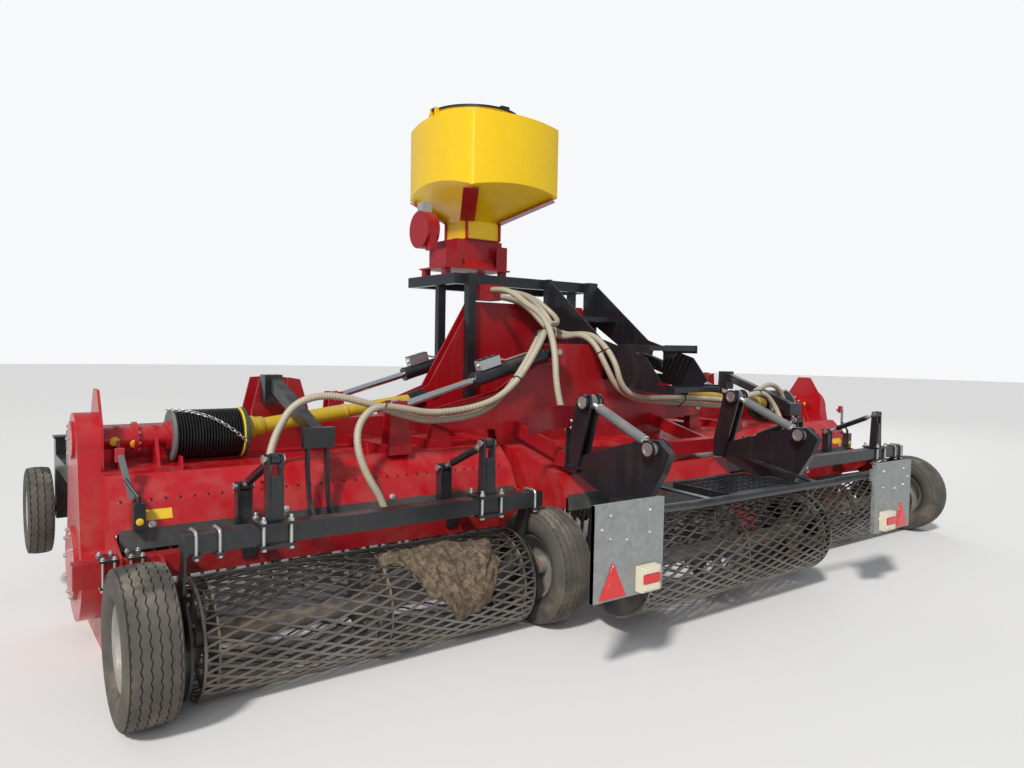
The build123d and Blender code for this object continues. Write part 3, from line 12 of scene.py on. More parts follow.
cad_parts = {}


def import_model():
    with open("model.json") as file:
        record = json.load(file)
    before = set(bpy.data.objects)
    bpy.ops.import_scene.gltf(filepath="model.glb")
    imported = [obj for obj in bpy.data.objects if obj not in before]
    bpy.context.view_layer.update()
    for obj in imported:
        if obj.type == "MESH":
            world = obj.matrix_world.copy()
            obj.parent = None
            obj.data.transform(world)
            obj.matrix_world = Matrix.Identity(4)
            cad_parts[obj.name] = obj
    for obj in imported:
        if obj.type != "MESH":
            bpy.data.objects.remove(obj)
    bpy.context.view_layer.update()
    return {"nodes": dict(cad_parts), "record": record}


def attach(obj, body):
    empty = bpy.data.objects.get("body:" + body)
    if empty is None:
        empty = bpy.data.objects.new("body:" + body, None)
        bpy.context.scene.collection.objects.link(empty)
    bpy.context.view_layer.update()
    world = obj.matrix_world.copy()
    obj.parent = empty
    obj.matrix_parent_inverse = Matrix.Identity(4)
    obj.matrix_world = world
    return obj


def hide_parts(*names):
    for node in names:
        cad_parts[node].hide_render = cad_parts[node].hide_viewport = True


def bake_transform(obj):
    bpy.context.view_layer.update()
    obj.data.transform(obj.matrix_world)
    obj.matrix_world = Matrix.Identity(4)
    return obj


LOG = logging.getLogger("burier")
MILLIMETRE = 0.001

Colour = tuple[float, float, float]
Point = Sequence[float]
Span = tuple[float, float]

# Millimetres that several fittings share: the cross tubes' line and the left roller beam's posts.
DRIVE_Y = 980.0
DRIVE_Z = 985.0
POSTS: Span = (-2420.0, -1340.0)


class Side(Enum):
    """The machine's two wings. Forms are drawn for the left one and mirrored for the right one."""

    LEFT = "left"
    RIGHT = "right"

    @property
    def sign(self) -> int:
        """Gives the side along X, -1 for left and 1 for right."""
        return -1 if self is Side.LEFT else 1

    @property
    def wing(self) -> str:
        """Gives the name of the wing's body."""
        return "wing_" + self.value


class Signal:
    """A value in a material's node tree that Python expressions are written on."""

    def __init__(self, graph: "Graph", socket: bpy.types.NodeSocket) -> None:
        """Keeps the socket.

        Args:
            graph: The tree that the socket belongs to.
            socket: An output socket of one of its nodes.
        """
        self.graph = graph
        self.socket = socket

    def _math(self, operation: str, first: Any, second: Any) -> "Signal":
        """Adds one Math node for an operation on two values."""
        return self.graph.node("ShaderNodeMath", {"operation": operation}, {0: first, 1: second})

    def __add__(self, other: Any) -> "Signal":
        """Gives this value plus another."""
        return self._math("ADD", self, other)

    def __radd__(self, other: Any) -> "Signal":
        """Gives a number plus this value."""
        return self._math("ADD", other, self)

    def __sub__(self, other: Any) -> "Signal":
        """Gives this value less another."""
        return self._math("SUBTRACT", self, other)

    def __rsub__(self, other: Any) -> "Signal":
        """Gives a number less this value."""
        return self._math("SUBTRACT", other, self)

    def __mul__(self, other: Any) -> "Signal":
        """Gives this value times another."""
        return self._math("MULTIPLY", self, other)

    def __rmul__(self, other: Any) -> "Signal":
        """Gives a number times this value."""
        return self._math("MULTIPLY", other, self)

    def step(self, low: float, high: float) -> "Signal":
        """Rises smoothly from 0 at one value to 1 at another.

        Args:
            low: The value where the rise starts.
            high: The value where it ends.

        Returns:
            The new value, between 0 and 1.
        """
        settings = {"interpolation_type": "SMOOTHSTEP"}
        return self.graph.node("ShaderNodeMapRange", settings, {0: self, 1: low, 2: high, 3: 0.0, 4: 1.0})


class Graph:
    """The node tree of one material, around a single Principled shader."""

    def __init__(self, name: str) -> None:
        """Starts a material.

        Args:
            name: The material's name.
        """
        self.material = bpy.data.materials.new(name)
        self.material.use_nodes = True
        self.tree = self.material.node_tree
        self.shader = self.tree.nodes["Principled BSDF"]

    def node(self, kind: str, settings: Optional[dict[str, Any]] = None,
             inputs: Optional[dict[Union[int, str], Any]] = None, output: Union[int, str] = 0) -> Signal:
        """Adds a node of any kind.

        Args:
            kind: The node's type.
            settings: Its own settings, which are set first.
            inputs: The numbers, colours or signals of its sockets.
            output: The output that is wanted.

        Returns:
            The signal of that output.
        """
        node = self.tree.nodes.new(kind)
        for key, value in (settings or {}).items():
            setattr(node, key, value)
        for key, value in (inputs or {}).items():
            self.feed(node.inputs[key], value)
        return Signal(self, node.outputs[output])

    def feed(self, socket: bpy.types.NodeSocket, value: Any) -> None:
        """Links a signal to a socket, or sets the socket's own value.

        Args:
            socket: The input socket.
            value: A signal, a number or a colour.
        """
        if isinstance(value, Signal):
            self.tree.links.new(value.socket, socket)
        elif isinstance(value, tuple) and len(value) == 3 and len(socket.default_value) == 4:
            socket.default_value = (*value, 1.0)
        else:
            socket.default_value = value

    def place(self) -> Signal:
        """Gives the point on the machine at rest, in metres."""
        return self.node("ShaderNodeTexCoord", output="Object")

    def part(self, vector: Signal, axis: int) -> Signal:
        """Gives one number out of a vector: 0 for X, 1 for Y, 2 for Z."""
        return self.node("ShaderNodeSeparateXYZ", inputs={0: vector}, output=axis)

    def upward(self) -> Signal:
        """Gives how far the surface looks upward, from -1 to 1."""
        return self.part(self.node("ShaderNodeNewGeometry", output="Normal"), 2)

    def stretched(self, vector: Signal, scale: Point) -> Signal:
        """Gives a vector with each axis scaled by its own number."""
        settings = {"operation": "MULTIPLY"}
        return self.node("ShaderNodeVectorMath", settings, {0: vector, 1: tuple(scale)})

    def noise(self, vector: Signal, scale: float, detail: float = 4.0, warp: float = 0.0) -> Signal:
        """Gives a cloudy pattern.

        Args:
            vector: Where the pattern is read.
            scale: How many clouds there are to a metre.
            detail: How many finer layers it has.
            warp: How much it is distorted.

        Returns:
            The pattern, between 0 and 1 and mostly near the middle.
        """
        return self.node("ShaderNodeTexNoise", inputs={"Vector": vector, "Scale": scale, "Detail": detail,
                                                       "Distortion": warp})

    def mix(self, share: Any, first: Any, second: Any) -> Signal:
        """Mixes two colours by a share of the second."""
        return self.node("ShaderNodeMix", {"data_type": "RGBA"}, {0: share, 6: first, 7: second}, 2)

    def relief(self, height: Signal, distance: float, strength: float = 1.0) -> Signal:
        """Turns a height pattern into a normal.

        Args:
            height: The pattern.
            distance: The height of a full step, in metres.
            strength: How much of it shows.

        Returns:
            The normal for the shader.
        """
        inputs = {"Strength": strength, "Distance": distance, "Height": height}
        return self.node("ShaderNodeBump", inputs=inputs)

    def set(self, **sockets: Any) -> bpy.types.Material:
        """Feeds the shader's sockets and gives the finished material.

        Args:
            **sockets: Values by socket name, with an underscore for each space.

        Returns:
            The material.
        """
        for key, value in sockets.items():
            self.feed(self.shader.inputs[key.replace("_", " ")], value)
        return self.material


SOIL: Colour = (0.155, 0.108, 0.068)
DRY_SOIL: Colour = (0.30, 0.23, 0.16)
DUST: Colour = (0.40, 0.33, 0.26)


class Finish:
    """A surface that gives one material, made once and shared."""

    made: dict[str, bpy.types.Material] = {}
    name: str

    def material(self) -> bpy.types.Material:
        """Gives the finish's material and makes it when it is first asked for.

        Returns:
            The material.
        """
        if self.name not in Finish.made:
            Finish.made[self.name] = self.shade(Graph(self.name))
        return Finish.made[self.name]

    def shade(self, graph: Graph) -> bpy.types.Material:
        """Builds the node tree."""
        raise NotImplementedError


@dataclass(frozen=True)
class Coating(Finish):
    """Paint, plating, plastic or rubber with fading, streaks, dust on top and soil low down.

    Attributes:
        name: The material's name.
        colour: The colour where it is clean.
        worn: The faded or stained tone that patches show.
        roughness: The clean surface's roughness.
        metallic: 1 for bare metal.
        coat: The clear coat's weight.
        wear: How strongly the worn tone shows.
        dust: How much dust lies on faces that look up.
        soil: How much soil sticks low down.
        soil_top: The height where the soil ends, in metres.
        grain: The fine relief's scale.
        depth: The fine relief's height in metres.
    """

    name: str
    colour: Colour
    worn: Colour
    roughness: float = 0.4
    metallic: float = 0.0
    coat: float = 0.0
    wear: float = 0.4
    dust: float = 0.25
    soil: float = 0.5
    soil_top: float = 0.75
    grain: float = 160.0
    depth: float = 0.0004

    def shade(self, graph: Graph) -> bpy.types.Material:
        """Builds the node tree.

        Args:
            graph: The new material's tree.

        Returns:
            The finished material.
        """
        place = graph.place()
        broad = graph.noise(place, 1.6, 5.0, 0.4)
        cloud = graph.noise(place, 8.5, 7.0, 0.3)
        fine = graph.noise(place, self.grain, 3.0)
        run = graph.noise(graph.stretched(place, (26.0, 26.0, 2.4)), 1.0, 5.0)
        patch = (broad * 0.55 + cloud * 0.45).step(0.40, 0.62)
        colour = graph.mix(patch * self.wear, self.colour, self.worn)
        streak = run.step(0.50, 0.72) * 0.22 * (self.dust + self.soil)
        colour = graph.mix(streak, colour, SOIL)
        dust = graph.upward().step(0.25, 0.95) * cloud.step(0.40, 0.70) * self.dust
        colour = graph.mix(dust, colour, DUST)
        height = graph.part(place, 2)
        near_ground = 1.0 - (height + broad * 0.3 - 0.15).step(0.0, self.soil_top)
        mud = near_ground * (cloud * 0.7 + fine * 0.3).step(0.40, 0.60) * self.soil
        colour = graph.mix(mud, colour, graph.mix(cloud.step(0.4, 0.7), SOIL, DRY_SOIL))
        cover = dust + mud
        roughness = self.roughness + cloud * 0.12 - 0.06 + cover * 0.45
        bump = graph.relief(fine + mud * 1.5 + cloud * 0.4, self.depth)
        clean = (1.0 - cover) * self.metallic if self.metallic else self.metallic
        return graph.set(Base_Color=colour, Roughness=roughness, Metallic=clean, Normal=bump,
                         Coat_Weight=self.coat, Coat_Roughness=0.12)


@dataclass(frozen=True)
class Galvanised(Finish):
    """Zinc with its spangle, dull patches and a little dust.

    Attributes:
        name: The material's name.
        light: The brighter flakes.
        dark: The duller flakes.
        flake: How many flakes there are to a metre.
    """

    name: str = "galvanised"
    light: Colour = (0.40, 0.42, 0.415)
    dark: Colour = (0.29, 0.31, 0.305)
    flake: float = 42.0

    def shade(self, graph: Graph) -> bpy.types.Material:
        """Builds the node tree.

        Args:
            graph: The new material's tree.

        Returns:
            The finished material.
        """
        place = graph.place()
        inputs = {"Vector": place, "Scale": self.flake}
        flakes = graph.node("ShaderNodeTexVoronoi", inputs=inputs, output="Color")
        spangle = graph.part(flakes, 0)
        cloud = graph.noise(place, 7.0, 6.0, 0.3)
        run = graph.noise(graph.stretched(place, (30.0, 30.0, 2.0)), 1.0, 4.0)
        colour = graph.mix(spangle * 0.75 + cloud * 0.2, self.dark, self.light)
        stain = run.step(0.52, 0.7) * 0.3
        colour = graph.mix(stain, colour, DRY_SOIL)
        bump = graph.relief(spangle + cloud, 0.00015)
        return graph.set(Base_Color=colour, Roughness=0.42 + spangle * 0.15 + stain * 0.6,
                         Metallic=0.75 - stain * 0.8, Normal=bump)


@dataclass(frozen=True)
class Earth(Finish):
    """Soil that sticks to the machine, in lumps with dry crumbs.

    Attributes:
        name: The material's name.
        wet: The tone of its hollows.
        dry: The tone of its crumbs.
    """

    name: str = "earth"
    wet: Colour = (0.070, 0.046, 0.028)
    dry: Colour = (0.215, 0.155, 0.10)

    def shade(self, graph: Graph) -> bpy.types.Material:
        """Builds the node tree.

        Args:
            graph: The new material's tree.

        Returns:
            The finished material.
        """
        place = graph.place()
        lump = graph.noise(place, 34.0, 8.0, 0.8)
        crumb = graph.noise(place, 190.0, 5.0)
        colour = graph.mix((lump * 0.6 + crumb * 0.4).step(0.40, 0.64), self.wet, self.dry)
        roughness = 0.9 - crumb * 0.15
        return graph.set(Base_Color=colour, Roughness=roughness, Normal=graph.relief(lump + crumb, 0.006))


@dataclass(frozen=True)
class SpiralHose(Finish):
    """A pale plastic hose with its spiral rib and handling dirt.

    Attributes:
        name: The material's name.
        pale: The colour between the ribs.
        rib: The colour of the spiral.
        turns: How many times the rib goes round along the whole hose.
    """

    name: str = "spiral_hose"
    pale: Colour = (0.44, 0.385, 0.285)
    rib: Colour = (0.31, 0.265, 0.19)
    turns: float = 230.0

    def shade(self, graph: Graph) -> bpy.types.Material:
        """Builds the node tree.

        Args:
            graph: The new material's tree.

        Returns:
            The finished material.
        """
        place = graph.place()
        unrolled = graph.node("ShaderNodeTexCoord", output="UV")
        phase = graph.part(unrolled, 0) * self.turns + graph.part(unrolled, 1)
        wave = graph.node("ShaderNodeMath", {"operation": "SINE"}, {0: phase * (2 * math.pi)})
        ridge = wave * 0.5 + 0.5
        dirt = graph.noise(place, 8.0, 5.0, 0.3).step(0.48, 0.70)
        colour = graph.mix(ridge.step(0.35, 0.9) * 0.7, self.pale, self.rib)
        colour = graph.mix(dirt * 0.35, colour, DRY_SOIL)
        return graph.set(Base_Color=colour, Roughness=0.42 + dirt * 0.3, Normal=graph.relief(ridge, 0.0007))


RED = Coating("red_paint", (0.40, 0.003, 0.009), (0.43, 0.012, 0.018), 0.30, coat=0.25, wear=0.5, dust=0.09,
              soil=0.42, soil_top=0.95)
FRAME_RED = Coating("frame_red", (0.30, 0.003, 0.008), (0.33, 0.010, 0.014), 0.36, coat=0.15, wear=0.4,
                    dust=0.10, soil=0.30)
# Red paint in the tone that it shows in shade: this is painted shade, used for the hood's bolts and the
# centre plate.
SHADED_RED = Coating("shaded_red", (0.16, 0.003, 0.008), (0.21, 0.008, 0.012), 0.34, coat=0.3, wear=0.4,
                   dust=0.08, soil=0.1)
BLACK = Coating("black_paint", (0.010, 0.011, 0.014), (0.020, 0.021, 0.024), 0.33, coat=0.2, wear=0.5,
                dust=0.10, soil=0.2)
GREY = Coating("grey_parts", (0.13, 0.135, 0.14), (0.20, 0.195, 0.185), 0.48, wear=0.5, dust=0.25,
               soil=0.35)
SILVER = Coating("silver_wheel_paint", (0.40, 0.40, 0.385), (0.24, 0.205, 0.17), 0.45, metallic=0.4,
                 wear=0.7, dust=0.3, soil=0.5, soil_top=0.9)
ZINC = Coating("zinc_fasteners", (0.62, 0.62, 0.60), (0.42, 0.37, 0.29), 0.34, metallic=0.85, wear=0.5,
               dust=0.2, soil=0.3, depth=0.0002)
BLOCK = Coating("valve_metal", (0.60, 0.61, 0.62), (0.42, 0.42, 0.41), 0.3, metallic=0.9, wear=0.4,
                dust=0.1, soil=0.1, depth=0.0002)
CHROME = Coating("chrome_rods", (0.74, 0.75, 0.77), (0.60, 0.61, 0.63), 0.12, metallic=1.0, wear=0.3,
                 dust=0.05, soil=0.1, depth=0.0)
STEEL = Coating("worn_steel", (0.20, 0.185, 0.17), (0.15, 0.095, 0.065), 0.48, metallic=0.7, wear=0.8,
                dust=0.3, soil=0.6, soil_top=1.0, depth=0.0006)
MESH = Coating("mesh_steel", (0.25, 0.24, 0.23), (0.125, 0.105, 0.085), 0.34, metallic=0.85, wear=0.8,
               dust=0.25, soil=0.45, soil_top=0.45, depth=0.0006)
RUBBER = Coating("tyre_rubber", (0.050, 0.046, 0.041), (0.085, 0.075, 0.062), 0.75, wear=0.7, dust=0.35,
                 soil=0.35, soil_top=0.6, grain=240.0)
FLAP = Coating("rubber_flap", (0.040, 0.042, 0.044), (0.10, 0.095, 0.085), 0.6, wear=0.6, dust=0.4,
               soil=0.4)
BELLOWS = Coating("bellows_rubber", (0.009, 0.009, 0.010), (0.020, 0.020, 0.020), 0.30, wear=0.4, dust=0.10,
                  soil=0.1)
GUARD = Coating("guard_yellow", (0.50, 0.33, 0.015), (0.26, 0.18, 0.03), 0.42, wear=0.8, dust=0.4, soil=0.3)
TANK = Coating("tank_yellow", (0.86, 0.56, 0.004), (0.78, 0.48, 0.006), 0.28, coat=0.25, wear=0.3,
               dust=0.03, soil=0.0, grain=70.0)
LABEL = Coating("yellow_plate", (0.75, 0.48, 0.02), (0.60, 0.36, 0.05), 0.4, wear=0.3, dust=0.1, soil=0.2)
PALE_GREY = Coating("pale_grey_plastic", (0.30, 0.31, 0.31), (0.22, 0.22, 0.21), 0.45, wear=0.4, dust=0.2,
                    soil=0.0)
GREEN = Coating("green_ring", (0.018, 0.075, 0.055), (0.04, 0.10, 0.08), 0.45, wear=0.4, dust=0.1, soil=0.1)
LAMP = Coating("lamp_housing", (0.66, 0.60, 0.47), (0.52, 0.44, 0.32), 0.4, wear=0.4, dust=0.1, soil=0.1)
LENS = Coating("red_lens", (0.62, 0.004, 0.006), (0.50, 0.010, 0.010), 0.14, coat=0.6, wear=0.2, dust=0.0,
               soil=0.05, depth=0.0)
HOSE = SpiralHose()
SHORT_HOSE = SpiralHose("short_spiral_hose", turns=108.0)
ZINC_SHEET = Galvanised()
CLOD = Earth()


@dataclass(frozen=True)
class Site:
    """Where the machine's drawing stands in the scene.

    Attributes:
        axle_y: The wing wheels' axle line along Y, in metres.
    """

    axle_y: float

    def point(self, place: Point) -> Vector:
        """Turns millimetres from the axle line into the scene's metres."""
        return Vector((place[0] * MILLIMETRE, place[1] * MILLIMETRE + self.axle_y, place[2] * MILLIMETRE))


def square_to(direction: Vector) -> tuple[Vector, Vector]:
    """Gives two directions square to one and to each other.

    Args:
        direction: The direction, with a length of 1.

    Returns:
        The two directions.
    """
    helper = Vector((0, 0, 1)) if abs(direction.z) < 0.9 else Vector((0, 1, 0))
    first = helper.cross(direction).normalized()
    return first, direction.cross(first).normalized()


def smooth_line(points: Sequence[Point], steps: int = 6) -> list[Vector]:
    """Gives a smooth line through a rigid pipe's points.

    Args:
        points: The points that the pipe passes.
        steps: The number of short runs between two of them.

    Returns:
        The line's points.
    """
    path = [Vector(point) for point in points]
    padded = [path[0] * 2 - path[1]] + path + [path[-1] * 2 - path[-2]]
    line = []
    for index in range(1, len(padded) - 2):
        before, start, end, after = padded[index - 1:index + 3]
        for step in range(steps):
            t = step / steps
            square = (2 * before - 5 * start + 4 * end - after) * t * t
            cube = (3 * start - before - 3 * end + after) * t ** 3
            line.append(0.5 * (2 * start + (end - before) * t + square + cube))
    return line + [path[-1]]


def circle(first: Vector, second: Vector, radius: float, sides: int) -> list[Vector]:
    """Gives the corners of a ring round the origin.

    Args:
        first: The direction of the first corner.
        second: The direction square to it.
        radius: The ring's radius.
        sides: The number of corners.

    Returns:
        The corners.
    """
    turns = [2 * math.pi * index / sides for index in range(sides)]
    return [(first * math.cos(turn) + second * math.sin(turn)) * radius for turn in turns]


def tube_faces(rows: int, sides: int, closed: bool = False) -> list[list[int]]:
    """Gives the faces that join a row of rings.

    Args:
        rows: The number of rings.
        sides: The number of corners in a ring.
        closed: Whether the last ring joins the first, so that there are no ends.

    Returns:
        The faces, as indices of the corners.
    """
    faces = []
    for row in range(rows if closed else rows - 1):
        here, there = row * sides, (row + 1) % rows * sides
        for index in range(sides):
            after = (index + 1) % sides
            faces.append([here + index, here + after, there + after, there + index])
    if not closed:
        faces.append(list(range(sides))[::-1])
        faces.append([(rows - 1) * sides + index for index in range(sides)])
    return faces


class Form:
    """A mesh that grows solid by solid, in millimetres from the axle line."""

    def __init__(self, site: Site, finish: Finish, side: Side = Side.LEFT) -> None:
        """Starts an empty form.

        Args:
            site: Where the drawing stands.
            finish: The finish of the first solids.
            side: The wing that it is for.
        """
        self.site = site
        self.finish = finish
        self.side = side
        self.points: list[Vector] = []
        self.faces: list[tuple[int, ...]] = []
        self.finishes: list[Finish] = []
        self.slots: list[int] = []

    def add(self, points: Sequence[Point], faces: Sequence[Sequence[int]]) -> None:
        """Adds a solid in the present finish.

        Args:
            points: Its corners.
            faces: Its faces, as indices of those corners.
        """
        if self.finish not in self.finishes:
            self.finishes.append(self.finish)
        slot = self.finishes.index(self.finish)
        start = len(self.points)
        self.points += [Vector(point) for point in points]
        self.faces += [tuple(start + index for index in face) for face in faces]
        self.slots += [slot] * len(faces)

    def prism(self, outline: Sequence[Point], push: Point) -> None:
        """Adds a flat outline pushed along a vector.

        Args:
            outline: The outline's corners, all in one plane.
            push: The way and the distance that it is pushed.
        """
        base = [Vector(point) for point in outline]
        first, count = base[0], len(base)
        normals = ((base[i] - first).cross(base[i + 1] - first) for i in range(1, count - 1))
        if sum(normals, Vector()).dot(Vector(push)) < 0:
            base.reverse()
        top = [point + Vector(push) for point in base]
        faces = [list(range(count))[::-1], [count + index for index in range(count)]]
        faces += [[i, (i + 1) % count, count + (i + 1) % count, count + i] for i in range(count)]
        self.add(base + top, faces)

    def along(self, y: Span, outline: Sequence[tuple[float, float]]) -> None:
        """Adds a plate whose outline is (X, Z), between two values of Y."""
        self.prism([(x, y[0], z) for x, z in outline], (0, y[1] - y[0], 0))

    def block(self, x: Span, y: Span, z: Span) -> None:
        """Adds a block between two values on each axis."""
        self.prism([(x[0], y[0], z[0]), (x[1], y[0], z[0]), (x[1], y[1], z[0]), (x[0], y[1], z[0])],
                   (0, 0, z[1] - z[0]))

    def bar(self, start: Point, end: Point, width: float, depth: float) -> None:
        """Adds a square bar from one point to another, its width level.

        Args:
            start: The middle of one end.
            end: The middle of the other end.
            width: The level side of its section.
            depth: The other side.
        """
        start, end = Vector(start), Vector(end)
        level, other = square_to((end - start).normalized())
        a, b = level * width / 2, other * depth / 2
        self.prism([start - a - b, start + a - b, start + a + b, start - a + b], end - start)

    def turned(self, start: Point, direction: Point, profile: Sequence[tuple[float, float]], sides: int = 24,
               closed: bool = False) -> None:
        """Adds a round solid.

        Args:
            start: A point on its axis.
            direction: The axis.
            profile: Pairs of distance along the axis and radius.
            sides: The number of flats round it.
            closed: Whether the profile is a closed outline, as a ring's is.
        """
        start, axis = Vector(start), Vector(direction).normalized()
        first, second = square_to(axis)
        rings = []
        for along, radius in profile:
            centre = start + axis * along
            rings += [centre + corner for corner in circle(first, second, radius, sides)]
        self.add(rings, tube_faces(len(profile), sides, closed))

    def disc(self, start: Point, direction: Point, span: Span, radius: float, sides: int = 24) -> None:
        """Adds a round or many-sided disc whose span is measured along its axis from a point."""
        self.turned(start, direction, [(span[0], radius), (span[1], radius)], sides)

    def ring(self, start: Point, direction: Point, span: Span, outer: float, inner: float,
             sides: int = 48) -> None:
        """Adds a ring with a square section.

        Args:
            start: A point on its axis.
            direction: The axis.
            span: Where it starts and ends along the axis.
            outer: Its outer radius.
            inner: Its inner radius.
            sides: The number of flats round it.
        """
        section = [(span[0], outer), (span[1], outer), (span[1], inner), (span[0], inner)]
        self.turned(start, direction, section, sides, closed=True)

    def rod(self, start: Point, end: Point, radius: float, sides: int = 16) -> None:
        """Adds a round bar from one point to another."""
        way = Vector(end) - Vector(start)
        self.disc(start, way, (0, way.length), radius, sides)

    def pipe(self, points: Sequence[Point], radius: float, sides: int = 10) -> None:
        """Adds a round bar that follows a line of points.

        Args:
            points: The line's points.
            radius: The bar's radius.
            sides: The number of flats round it.
        """
        line = [Vector(point) for point in points]
        first, _ = square_to((line[1] - line[0]).normalized())
        corners = []
        for index, point in enumerate(line):
            ahead = (line[min(index + 1, len(line) - 1)] - line[max(index - 1, 0)]).normalized()
            first = (first - ahead * first.dot(ahead)).normalized()
            corners += [point + corner for corner in circle(first, ahead.cross(first), radius, sides)]
        self.add(corners, tube_faces(len(line), sides))

    def bolt(self, place: Point, direction: Point, size: float, washer: bool = True) -> None:
        """Adds a hexagon head with its washer and the thread's end.

        Args:
            place: The point where it stands on the surface.
            direction: The way out of the surface.
            size: The thread's diameter.
            washer: Whether it has a washer.
        """
        lift = size * 0.18 if washer else 0.0
        if washer:
            self.disc(place, direction, (-0.5, lift), size * 1.1, 16)
        head = size * 0.92
        self.turned(place, direction, [(lift - 0.5, head), (lift + size * 0.55, head),
                                       (lift + size * 0.68, size * 0.78)], 6)
        self.disc(place, direction, (0, lift + size * 0.95), size * 0.45, 8)

    def bolt_circle(self, centre: Point, way: int, radius: float, count: int, size: float,
                    turn: float = 0.0) -> None:
        """Adds a circle of bolts on a face that looks along X.

        Args:
            centre: The circle's centre on the face.
            way: The way that the face looks, -1 or 1 along X.
            radius: The circle's radius.
            count: The number of bolts.
            size: The thread's diameter.
            turn: The first bolt's angle from +Y, in degrees.
        """
        x, y, z = centre
        for index in range(count):
            angle = math.radians(360 / count * index + turn)
            self.bolt((x, y + radius * math.cos(angle), z + radius * math.sin(angle)), (way, 0, 0), size)

    def piece(self, name: str, body: str, replaces: Sequence[str] = (), bevel: float = 0.0,
              angle: float = 34.0) -> bpy.types.Object:
        """Turns the form into a piece of the scene that rides on a body.

        Args:
            name: The piece's name.
            body: The body that it rides on.
            replaces: The nodes that it stands for.
            bevel: The width of its rounded edges, in millimetres.
            angle: Edges sharper than this many degrees stay sharp.

        Returns:
            The new object.
        """
        mirrored = self.side is Side.RIGHT
        points = [Vector((-p.x, p.y, p.z)) if mirrored else p for p in self.points]
        faces = [face[::-1] for face in self.faces] if mirrored else self.faces
        mesh = bpy.data.meshes.new(name)
        mesh.from_pydata([self.site.point(point) for point in points], [], faces)
        mesh.polygons.foreach_set("material_index", self.slots)
        for finish in self.finishes:
            mesh.materials.append(finish.material())
        mesh.shade_smooth()
        mesh.set_sharp_from_angle(angle=math.radians(angle))
        mesh.update()
        thing = bpy.data.objects.new(name, mesh)
        bpy.context.scene.collection.objects.link(thing)
        if bevel:
            edge = thing.modifiers.new("edges", "BEVEL")
            edge.width = bevel * MILLIMETRE
            edge.segments = 2
            edge.limit_method = "ANGLE"
            edge.angle_limit = math.radians(40)
            edge.harden_normals = False
        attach(thing, body)
        if replaces:
            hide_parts(*replaces)
        LOG.info("%s: %d faces on %s", name, len(faces), body)
        return thing


class Assembly:
    """A group of pieces that is built on a site."""

    def build(self, site: Site) -> None:
        """Makes the group's pieces."""
        raise NotImplementedError


@dataclass
class MeshDrum(Assembly):
    """A roller of expanded mesh with its hubs and shaft.

    Attributes:
        node: The CAD node that it stands for.
        body: The body that it turns with.
        left: Its left end.
        right: Its right end.
        y: Its axis along Y.
        z: Its axis above the ground.
        radius: The mesh's outer radius.
        strands: The number of strands round it, an even number.
        pitch: Half the length of a diamond.
        strand: A strand's width.
        thick: A strand's thickness.
        end: The thickness and the depth of the rings at its ends.
        disc: The thickness of the discs inside it.
        windows: The number of windows in a disc.
    """

    node: str
    body: str
    left: float
    right: float
    y: float
    z: float
    radius: float = 249.0
    strands: int = 60
    pitch: float = 66.0
    strand: float = 7.5
    thick: float = 6.0
    end: tuple[float, float] = (12.0, 16.0)
    disc: float = 8.0
    windows: int = 6

    def build(self, site: Site) -> None:
        """Makes the mesh, the end rings, the hubs and the shaft in its sleeve.

        Args:
            site: Where the machine's drawing stands.
        """
        form = Form(site, MESH)
        self.weave(form)
        thick, deep = self.end
        for x in (self.left, self.right - thick):
            form.ring((x, self.y, self.z), (1, 0, 0), (0, thick), self.radius, self.radius - deep)
        form.finish = STEEL
        for x in (self.left + 60, (self.left + self.right) / 2, self.right - 60):
            self.hub(form, x)
        for inset, radius in ((-38, 25), (20, 42)):
            reach = self.right - self.left - 2 * inset
            form.disc((self.left + inset, self.y, self.z), (1, 0, 0), (0, reach), radius)
        form.piece(self.node + "_dressed", self.body, [self.node])

    def weave(self, form: Form) -> None:
        """Adds the strands, each a zigzag that meets its neighbours at the knots.

        Args:
            form: The form that the solids go into.
        """
        steps = round((self.right - self.left - 8) / self.pitch)
        pitch = (self.right - self.left - 8) / steps
        turn = 2 * math.pi / self.strands
        points, faces = [], []
        for strand in range(self.strands):
            for step in range(steps + 1):
                side = 0.5 if (step + strand) % 2 == 0 else -0.5
                angle = (strand + side * 0.86) * turn
                x = self.left + 4 + step * pitch
                half = self.strand / 2 / self.radius
                for lean, radius in ((-half, self.radius - self.thick - 5), (half, self.radius - self.thick),
                                     (half, self.radius), (-half, self.radius - 5)):
                    a = angle + lean * 1.35
                    points.append((x, self.y + radius * math.cos(a), self.z + radius * math.sin(a)))
            base = strand * (steps + 1) * 4
            for step in range(steps):
                for corner in range(4):
                    a, b = base + step * 4 + corner, base + step * 4 + (corner + 1) % 4
                    faces.append([a, a + 4, b + 4, b])
            faces.append([base + corner for corner in range(4)])
            faces.append([base + steps * 4 + corner for corner in range(4)][::-1])
        form.add(points, faces)

    def hub(self, form: Form, x: float) -> None:
        """Adds a disc with windows at one place along the drum.

        Args:
            form: The form that the solids go into.
            x: The disc's middle across.
        """
        start = Vector((x - self.disc / 2, self.y, self.z))
        for outer, inner in ((self.radius - 7, self.radius - 50), (82, 25)):
            form.ring(start, (1, 0, 0), (0, self.disc), outer, inner)
        for spoke in range(self.windows):
            angle = math.radians(360 / self.windows * spoke + 15)
            along = Vector((0, math.cos(angle), math.sin(angle)))
            wide = Vector((0, -math.sin(angle), math.cos(angle)))
            corners = [start + along * reach + wide * half
                       for reach, half in ((75, 26), (75, -26), (205, -50), (205, 50))]
            form.prism(corners, (self.disc, 0, 0))


